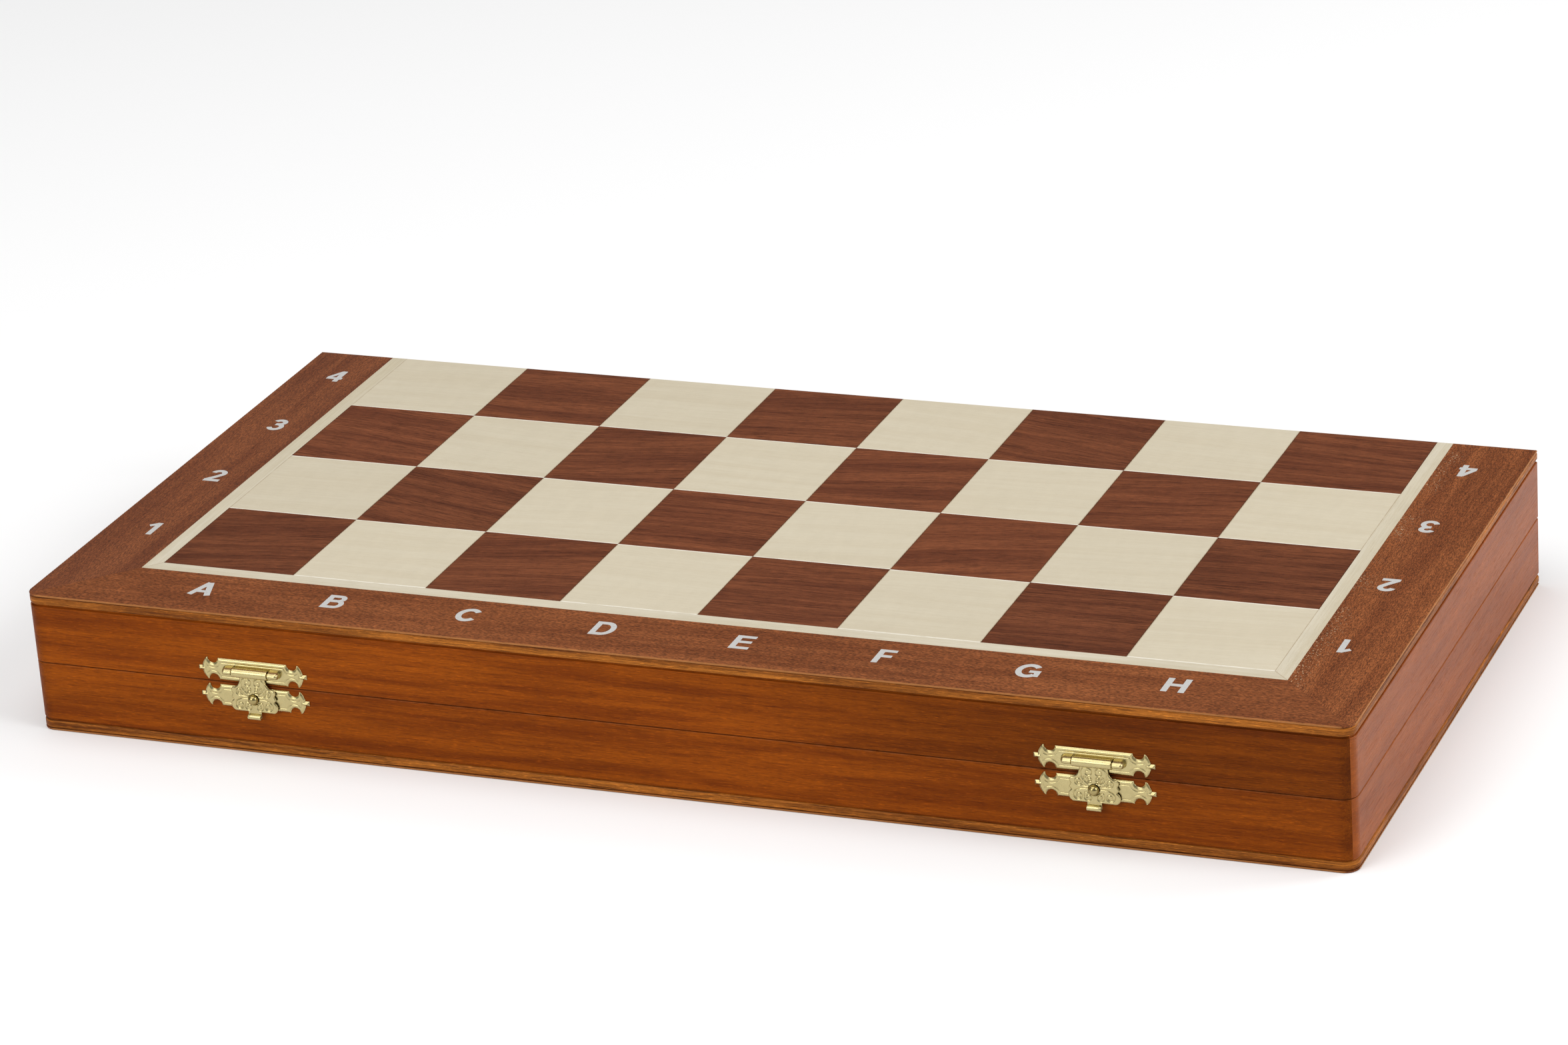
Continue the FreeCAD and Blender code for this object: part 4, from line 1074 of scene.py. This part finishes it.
def stud_shell(x):
    """The stud: a waisted neck and a domed head, turned about its own axis."""
    profile = on_axis(eased(drawn(
        (0.0, 0.3), (1.9, 0.3), (1.9, 0.8), (STUD_NECK + 0.15, 0.95), (STUD_NECK, 1.7),
        (STUD_DOME, STUD_SHOULDER), (1.31, 3.26, 0.0, 3.8)), 0.09, 0.08))
    points, faces = lathed(profile)
    return on_front(x, points[:, 0], STUD_V + points[:, 1], points[:, 2]), faces


def make_latch(side):
    """One latch: the lid's plate with its loops, the base's plate with its stud, and the engraved hasp."""
    x = JOINTS[side + "_hasp_hinge"][0]
    parts = [
        ("lid_plate", plate_shells(x, PLATE_CENTRE, True), "lid", LATCH_BRASS),
        ("base_plate", plate_shells(x, -PLATE_CENTRE, False), "base", LATCH_BRASS),
        ("stud", [stud_shell(x)], "base", STUD_BRASS_SHADED),
        ("hasp", [hasp_body(x), barrel_shell(x), lip_shell(x)], side + "_hasp", LATCH_BRASS),
    ]
    for part, shells, body, material in parts:
        name = "latch_" + side + "_" + part
        piece(name + "_formed", shells, body, material, [name], crease=50)


make_latch("left")
make_latch("right")


# Chess pieces

def row_places(kinds, y_front, row_length):
    """Places of a row of lying pieces, evenly gapped, alternately head up and head down."""
    widths = [2 * PIECES[kind][1] for kind in kinds]
    gap = (2 * INNER_X - sum(widths)) / (len(kinds) + 1)
    x = -INNER_X
    places = []
    for index, (kind, width) in enumerate(zip(kinds, widths)):
        x += gap + width / 2
        way = 1 if index % 2 == 0 else -1
        spare = (row_length - PIECES[kind][0]) / 2
        y = y_front + spare if way == 1 else y_front + row_length - spare
        places.append((kind, (x, y, way)))
        x += width / 2
    return places


def set_places():
    """Where each colour's pieces lie: officers along the back, each colour's pawns and rooks in a row."""
    officers = ["bishop", "knight", "king", "queen", "knight", "bishop"]
    pawns = ["rook"] + ["pawn"] * 8 + ["rook"]
    gap = (2 * INNER_Y - BACK_ROW_LENGTH - 2 * SHORT_ROW_LENGTH) / 4
    first = -INNER_Y + gap
    second = first + SHORT_ROW_LENGTH + gap
    third = second + SHORT_ROW_LENGTH + gap
    back = row_places(officers + officers[::-1], third, BACK_ROW_LENGTH)
    return {
        "white": back[:6] + row_places(pawns, first, SHORT_ROW_LENGTH),
        "black": back[6:] + row_places(pawns, second, SHORT_ROW_LENGTH),
    }


def laid(shell, place):
    """Lays an upright shell on its side along Y with its axis at the tray's top."""
    points, faces = shell
    x, y, way = place
    lying = [points[:, 0] + x, way * points[:, 2] + y, TRAY_TOP - way * points[:, 1]]
    return np.stack(lying, 1), faces


def foot(kind):
    """The lowest steps of a piece: its felt's recess, the plinth and the first bead."""
    radius = PIECES[kind][1]
    return [(radius, FELT), (radius, 3.4), (radius - 0.1, 5.6, radius - 2.2, 6.8), (radius - 3.0, 7.4)]


def turning(kind, *steps, ease=0.28, step=0.45):
    """A whole profile from the axis at the foot to the axis at the head."""
    return on_axis(eased(drawn((0.0, FELT), *foot(kind), *steps), ease, step))


def ball(radius, height, count):
    """A turned ball on the axis."""
    angle = np.linspace(-math.pi / 2, math.pi / 2, count)
    return lathed(on_axis(np.stack([radius * np.cos(angle), height + radius * np.sin(angle)], 1)), 36)


def king_shells():
    """The king: a turned body, and a flat cross with flared arms whose edges are slightly chamfered."""
    body = turning(
        "king", (9.2, 14.5, 6.6, 26.0), (5.9, 38.0, 6.4, 50.0), (10.6, 51.4), (10.9, 52.6, 9.4, 53.8),
        (7.4, 54.6), (9.0, 56.0, 7.6, 57.4), (6.6, 58.6), (8.0, 66.0, 10.9, 75.2), (10.2, 76.6),
        (7.4, 79.6, 2.2, 81.0), (1.6, 82.0), (0.0, 82.0))
    right = np.array([(1.5, 90.0), (0.75, 86.8), (3.8, 87.3), (3.8, 84.1), (0.75, 84.6), (0.9, 81.3)])
    left = right[::-1] * (-1, 1)
    outline = even(np.concatenate([left, right, left[:1]]), 0.3)[:-1]
    middle = np.array([0.0, 85.7])
    rings = []
    for y, size in ((-1.3, 0.9), (-1.05, 1.0), (1.05, 1.0), (1.3, 0.9)):
        ring = middle + (outline - middle) * size
        rings.append(np.stack([ring[:, 0], np.full(len(ring), y), ring[:, 1]], 1))
    return [lathed(body, 64), capped(np.stack(rings))]


def queen_shells():
    """The queen: her rim is scalloped in nine, deepest at its edge, round a ball."""
    body = turning(
        "queen", (8.8, 13.6, 6.2, 24.0), (5.5, 34.0, 6.0, 45.0), (10.0, 46.2), (10.3, 47.4, 8.8, 48.6),
        (7.0, 49.4), (8.4, 50.6, 7.0, 51.8), (6.2, 53.0), (7.2, 62.0, 11.0, 71.9), (9.6, 72.2), (8.2, 70.9),
        (5.4, 73.4, 2.0, 74.0), (0.0, 74.0))
    points, faces = lathed(body, 108)
    radius, angle = np.hypot(points[:, 0], points[:, 1]), np.arctan2(points[:, 1], points[:, 0])
    rim = np.clip((radius - 8.0) / 1.6, 0, 1) * np.clip((points[:, 2] - 66.0) / 5.0, 0, 1)
    points[:, 2] -= 2.2 * rim * (0.5 + 0.5 * np.cos(9 * angle)) ** 1.5
    return [(points, faces), ball(3.0, 76.0, 22)]


def bishop_shells():
    """The bishop: a slanted cut pulls the mitre in where it crosses a leaning plane, below a ball."""
    body = turning(
        "bishop", (8.0, 12.8, 5.6, 22.0), (5.0, 30.0, 5.4, 38.0), (9.0, 39.2), (9.2, 40.3, 8.0, 41.4),
        (6.0, 42.2), (7.4, 43.4, 5.9, 44.6), (9.3, 52.0, 2.0, 64.6), (0.0, 64.8), step=0.3)
    points, faces = lathed(body, 120)
    lean = math.radians(52)
    off_plane = (points[:, 0] - 1.6) * math.sin(lean) - (points[:, 2] - 54.0) * math.cos(lean)
    cut = np.exp(-(off_plane / 0.75) ** 2) * np.clip((points[:, 0] - 1.0) / 2.0, 0, 1) * (points[:, 2] > 46)
    points[:, :2] *= (1 - 0.6 * cut)[:, None]
    return [(points, faces), ball(2.6, 66.4, 20)]


def rook_shells():
    """The rook: its rim drops to a floor at six gaps, whose sides are nearly upright."""
    body = turning(
        "rook", (9.6, 12.0, 8.4, 20.0), (7.9, 27.0, 8.4, 33.0), (11.0, 34.2), (11.2, 35.2, 9.8, 36.2),
        (9.4, 37.4), (12.0, 40.0), (12.3, 50.0), (8.6, 50.0), (8.2, 45.0), (0.0, 45.0), ease=0.2, step=0.35)
    gap = math.radians(8.2)
    sixth = math.pi / 3
    near = np.concatenate([[-gap - 0.03, -gap + 0.03], np.linspace(-gap + 0.1, gap - 0.1, 3),
                           [gap - 0.03, gap + 0.03], np.linspace(gap + 0.12, sixth - gap - 0.12, 7)])
    angle = np.concatenate([near + k * sixth for k in range(6)])
    in_gap = np.tile([0, 1, 1, 1, 1, 1, 0] + [0] * 7, 6)
    radius, height = body[:, :1], body[:, 1:]
    level = np.where(in_gap, np.minimum(height, 45.4), height)
    return [rounds(np.stack([radius * np.cos(angle), radius * np.sin(angle), level], -1))]


def pawn_shells():
    """The pawn: a turned body whose collar carries a ball."""
    angle = np.linspace(math.radians(-32), math.pi / 2, 20)
    head = np.stack([7.6 * np.cos(angle), 39.4 + 7.6 * np.sin(angle)], 1)
    steps = [(7.0, 12.0, 4.8, 20.0), (4.3, 26.0, 4.8, 31.4), (8.4, 32.6), (8.5, 33.6, 7.4, 34.4), (6.2, 35.0)]
    lower = eased(drawn((0.0, FELT), *foot("pawn"), *steps), 0.28, 0.55)
    return [lathed(on_axis(np.concatenate([lower, head])), 44)]


def knight_shells():
    """The knight: sections from chest to mane turn up through the neck and out along the muzzle. Each is an
    oval between a point of the front line and one of the back line, and eye, cheek, nostril and mane are
    raised or sunk by bell curves."""
    base = turning("knight", (11.6, 11.0), (11.4, 13.4, 10.4, 14.4), (0.0, 14.4))
    front = spline([(9.8, 13.2), (9.3, 19.0), (7.6, 26.0), (5.3, 32.0), (4.4, 35.4), (4.6, 37.6), (6.2, 38.8),
                    (8.4, 38.9), (10.6, 38.4), (12.4, 38.2), (13.9, 38.9), (14.7, 40.4)], 110)
    back = spline([(-9.8, 13.2), (-12.0, 21.0), (-13.0, 29.0), (-12.9, 37.0), (-11.2, 44.5), (-8.0, 50.8),
                   (-3.8, 55.2), (0.8, 57.0), (5.0, 54.4), (9.0, 49.6), (12.4, 45.4), (14.9, 42.2)], 110)
    t = np.linspace(0, 1, len(front))
    thick = np.interp(t, [0, 0.2, 0.4, 0.55, 0.68, 0.8, 0.92, 1.0], [8.8, 8.2, 6.6, 5.7, 5.5, 4.6, 3.9, 1.6])
    angle = np.linspace(0, 2 * math.pi, 72, endpoint=False)
    middle, reach = (front + back) / 2, (front - back) / 2
    cosine, sine = np.cos(angle), np.sin(angle)
    squared = np.sign(cosine) * np.abs(cosine) ** 0.85
    xz = middle[:, None] + reach[:, None] * squared[None, :, None]
    y = thick[:, None] * np.sign(sine) * np.abs(sine) ** 0.8
    x, z = xz[..., 0], xz[..., 1]
    # The middle of each raised or sunk place, its reach both ways, and its height
    dabs = [(3.4, 50.2, 1.5, 1.0, 1.5), (3.2, 51.8, 2.4, 0.6, -1.3), (3.6, 48.6, 2.4, 0.5, -1.0),
            (1.6, 44.2, 3.2, 3.4, 1.3), (12.7, 42.8, 0.8, 0.7, -1.2), (11.6, 40.4, 2.8, 0.3, -1.0),
            (6.4, 43.6, 1.4, 2.8, -0.9)]
    relief = sum(height * np.exp(-((x - cx) / rx) ** 2 - ((z - cz) / rz) ** 2)
                 for cx, cz, rx, rz, height in dabs)
    on_mane = np.clip((squared * -1 - 0.35) / 0.3, 0, 1)[None] * np.clip((t - 0.04) / 0.1, 0, 1)[:, None]
    on_mane = on_mane * np.clip((0.62 - t) / 0.06, 0, 1)[:, None]
    locks = np.abs(np.sin(t[:, None] * 40 + 2.2 * squared[None])) ** 0.7
    y = y + np.sign(sine) * (relief * np.clip(np.abs(sine) * 3 - 0.4, 0, 1) + on_mane * (1.1 * locks - 0.3))
    return [lathed(base), capped(np.stack([x, y, z], -1)), ear_shell(-1), ear_shell(1)]


def ear_shell(way):
    """One ear: rounded sections that narrow to a tip above the poll."""
    t = np.linspace(0, 1, 16)[:, None]
    angle = np.linspace(0, 2 * math.pi, 20, endpoint=False)[None]
    size = np.sqrt(np.clip(1 - t**1.6, 0, 1)) * (1 + 0.25 * np.sin(math.pi * t))
    x = -1.0 - 1.5 * t + 2.2 * size * np.cos(angle) - 0.3 * size * np.cos(2 * angle)
    y = way * (2.7 + 0.2 * t) + 1.3 * size * np.sin(angle)
    z = 54.4 + 6.4 * t + 0.5 * size * np.cos(angle)
    return capped(np.stack([x, y, z], -1))


def pad_shell(kind):
    """The felt disc under a piece: a flat disc with a soft, slightly wavy edge."""
    radius = PIECES[kind][1] - 1.0
    profile = eased(np.array([(0.0, 0.03), (radius, 0.03), (radius, FELT), (0.0, FELT)]), 0.16, 0.3)
    points, faces = lathed(on_axis(profile), 48)
    angle = np.arctan2(points[:, 1], points[:, 0])
    points[:, :2] *= (1 + 0.004 * np.sin(7 * angle) + 0.003 * np.sin(13 * angle + 1))[:, None]
    return points, faces


SHAPES = {"king": king_shells(), "queen": queen_shells(), "bishop": bishop_shells(), "rook": rook_shells(),
          "knight": knight_shells(), "pawn": pawn_shells()}
PLACES = set_places()


def make_set(colour, material):
    """All the pieces of one colour, with their felts, lying in the tray."""
    counts = {}
    pawns = []
    for kind, place in PLACES[colour]:
        shells = [laid(shell, place) for shell in SHAPES[kind]]
        if kind == "pawn":
            pawns += shells
            continue
        counts[kind] = counts.get(kind, 0) + 1
        name = colour + "_" + kind + ("" if kind in ("king", "queen") else "_" + str(counts[kind]))
        piece(name + "_turned", shells, "base", material, [name], crease=55)
    piece(colour + "_pawns_turned", pawns, "base", material, [colour + "_pawns"], crease=55)
    pads = [laid(pad_shell(kind), place) for kind, place in PLACES[colour]]
    piece(colour + "_pads_cut", pads, "base", PAD_FELT, [colour + "_felt_pads"])


make_set("white", BOXWOOD)
make_set("black", EBONISED)


# Tray and lining

SLOT_PLAY = 1.0
TRAY_STEP = 1.1
TRAY_SOFTNESS = 1.3
WALL_ROLL = 1.6
WALL_ROLL_WIDE = 1.1
PUFF = 0.18
KNIGHT_HEAD_DEEP = 9.8
LINING_RIPPLE = 0.06
LINING_CUT_EDGE = 0.35
LINING_EDGE_WIDE = 0.8


def blurred(field, radius, step):
    """A field averaged both ways over a bell curve of that radius, with its edges carried on."""
    reach, bell = bell_curve(radius, step)
    for _ in (0, 1):
        longer = np.pad(field, [(reach, reach), (0, 0)], mode="edge")
        field = sum(weight * longer[k:k + len(field)] for k, weight in enumerate(bell)).T
    return field


def slot_floor(gx, gy, kind, place):
    """Height of the tray under one piece: a trough as round as the piece, turned about the tray's top."""
    height, foot_radius, foot_top, neck_end, head = PIECES[kind]
    x, y, way = place
    along, across = (gy - y) * way, gx - x
    stations = [-1.0, -0.9, foot_top - 3, neck_end, height + 0.9, height + 1.0]
    radii = [0, foot_radius + SLOT_PLAY, foot_radius + SLOT_PLAY, head + SLOT_PLAY, head + SLOT_PLAY, 0]
    radius = np.interp(along, stations, radii)
    floor = TRAY_TOP - np.sqrt(np.clip(radius**2 - across**2, 0, None))
    if kind == "knight":
        head_box = (along > foot_top - 3) & (along < height + 0.9) & (across > -14.2) & (across < 16.0)
        floor = np.where(head_box, np.minimum(floor, TRAY_TOP - KNIGHT_HEAD_DEEP), floor)
    return floor


def make_tray():
    """Velvet over formed foam: a level top with a trough for each piece, softened all over so that every edge
    is round, slightly puffed between the troughs, and rolled down at the walls."""
    x = np.linspace(TRAY_X, -TRAY_X, int(-2 * TRAY_X / TRAY_STEP))
    y = np.linspace(-TRAY_Y, TRAY_Y, int(2 * TRAY_Y / TRAY_STEP))
    gx, gy = np.meshgrid(x, y, indexing="ij")
    top = np.full(gx.shape, TRAY_TOP)
    for kind, place in PLACES["white"] + PLACES["black"]:
        top = np.minimum(top, slot_floor(gx, gy, kind, place))
    top = blurred(top, TRAY_SOFTNESS, TRAY_STEP)
    to_wall = np.minimum(-TRAY_X - np.abs(gx), TRAY_Y - np.abs(gy))
    top -= WALL_ROLL * np.exp(-(to_wall / WALL_ROLL_WIDE) ** 1.3)
    top -= PUFF * (0.5 + 0.5 * np.sin(gx * 0.11 + 0.7 * np.sin(gy * 0.09)) * np.cos(gy * 0.13))
    face = np.stack([gx, gy, top], -1)
    back = np.stack([gx[:, [-1, 0]], gy[:, [-1, 0]], np.full((len(x), 2), TRAY_FLOOR)], -1)
    tray = piece("velvet_tray", [capped(np.concatenate([face, back], 1))], "base", VELVET,
                 ["piece_tray"], crease=80)


def make_lining():
    """The felt under the lid: a thin sheet glued flat, its face faintly uneven and its cut edge soft."""
    x = np.linspace(LINING_X, -LINING_X, 150)
    y = np.linspace(LINING_Y, -LINING_Y, 72)
    gx, gy = np.meshgrid(x, y, indexing="ij")
    to_edge = np.minimum(-LINING_X - np.abs(gx), -LINING_Y - np.abs(gy))
    ripple = np.sin(gx * 0.21 + 2 * np.sin(gy * 0.05)) * np.cos(gy * 0.17) + 1
    face_z = LINING_FACE + LINING_RIPPLE * ripple + LINING_CUT_EDGE * np.exp(-to_edge / LINING_EDGE_WIDE)
    face = np.stack([gx, gy, face_z], -1)
    back = np.stack([gx[:, ::-1], gy[:, ::-1], np.full(gx.shape, LINING_BACK - 0.02)], -1)
    lining = piece("felt_lining", [capped(np.concatenate([face, back], 1))], "lid",
                   LINING_FELT, ["lid_lining"], crease=80)


make_tray()
make_lining()


# Floor, light and camera

FLOOR_HALF = 5.0
FLOOR_Z = -0.0001


def make_floor():
    """A plain pale floor, level with the box's underside."""
    corners = np.array([(-1, -1), (1, -1), (1, 1), (-1, 1)]) * FLOOR_HALF
    mesh = bpy.data.meshes.new("floor")
    mesh.from_pydata(np.pad(corners, [(0, 0), (0, 1)], constant_values=FLOOR_Z).tolist(), [], [[0, 1, 2, 3]])
    material, nodes, shader = finish("floor_paint", Roughness=0.9, Specular_IOR_Level=0.0)
    speck = nodes.noise(nodes.add("TexCoord").outputs["Object"], (1.0, 1.0, 1.0), 2.0, 0.5)
    nodes.feed(shader.inputs["Base Color"], nodes.mixed(speck, shade(246, 246, 246), shade(248, 248, 248)))
    mesh.materials.append(material)
    floor = bpy.data.objects.new("floor", mesh)
    bpy.context.scene.collection.objects.link(floor)


def make_light(name, place, aim, size, power):
    """A square softbox turned to face a point."""
    data = bpy.data.lights.new(name, "AREA")
    data.shape = "SQUARE"
    data.size = size
    data.energy = power
    light = bpy.data.objects.new(name, data)
    bpy.context.scene.collection.objects.link(light)
    light.location = place
    x, y, z = np.array(aim) - np.array(place)
    light.rotation_euler = (math.atan2(math.hypot(x, y), -z), 0.0, math.atan2(x, -y) + math.pi)


def make_studio():
    """A white room's soft fill, and four softboxes: over the box, before it, behind its right and
    beside it."""
    world = bpy.data.worlds.new("studio")
    world.use_nodes = True
    background = world.node_tree.nodes["Background"]
    background.inputs["Color"].default_value = (1.0, 1.0, 1.0, 1.0)
    background.inputs["Strength"].default_value = 0.25
    bpy.context.scene.world = world
    bpy.context.scene.view_settings.view_transform = "Standard"
    make_light("overhead", place=(-0.3, -0.5, 2.4), aim=(0, 0, 0), size=2.4, power=38.0)
    make_light("front", place=(-1.2, -2.4, 1.4), aim=(0, 0, 0), size=1.6, power=28.0)
    make_light("far right", place=(2.0, 1.5, 1.7), aim=(0, 0.9, 0), size=1.4, power=27.0)
    make_light("right", place=(2.2, -0.3, 1.4), aim=(0, 0, 0), size=1.4, power=27.0)


def make_camera():
    """A long lens, looking down on the front right of the box."""
    data = bpy.data.cameras.new("camera")
    data.sensor_width = 36.0
    data.lens = 123.6
    data.clip_start = 0.1
    data.clip_end = 30.0
    camera = bpy.data.objects.new("camera", data)
    camera.location = (0.67046, -1.5805, 0.76715)
    camera.rotation_euler = [math.radians(angle) for angle in (67.2954, 3.8008, 21.4250)]
    bpy.context.scene.collection.objects.link(camera)
    bpy.context.scene.camera = camera


make_floor()
make_studio()
make_camera()
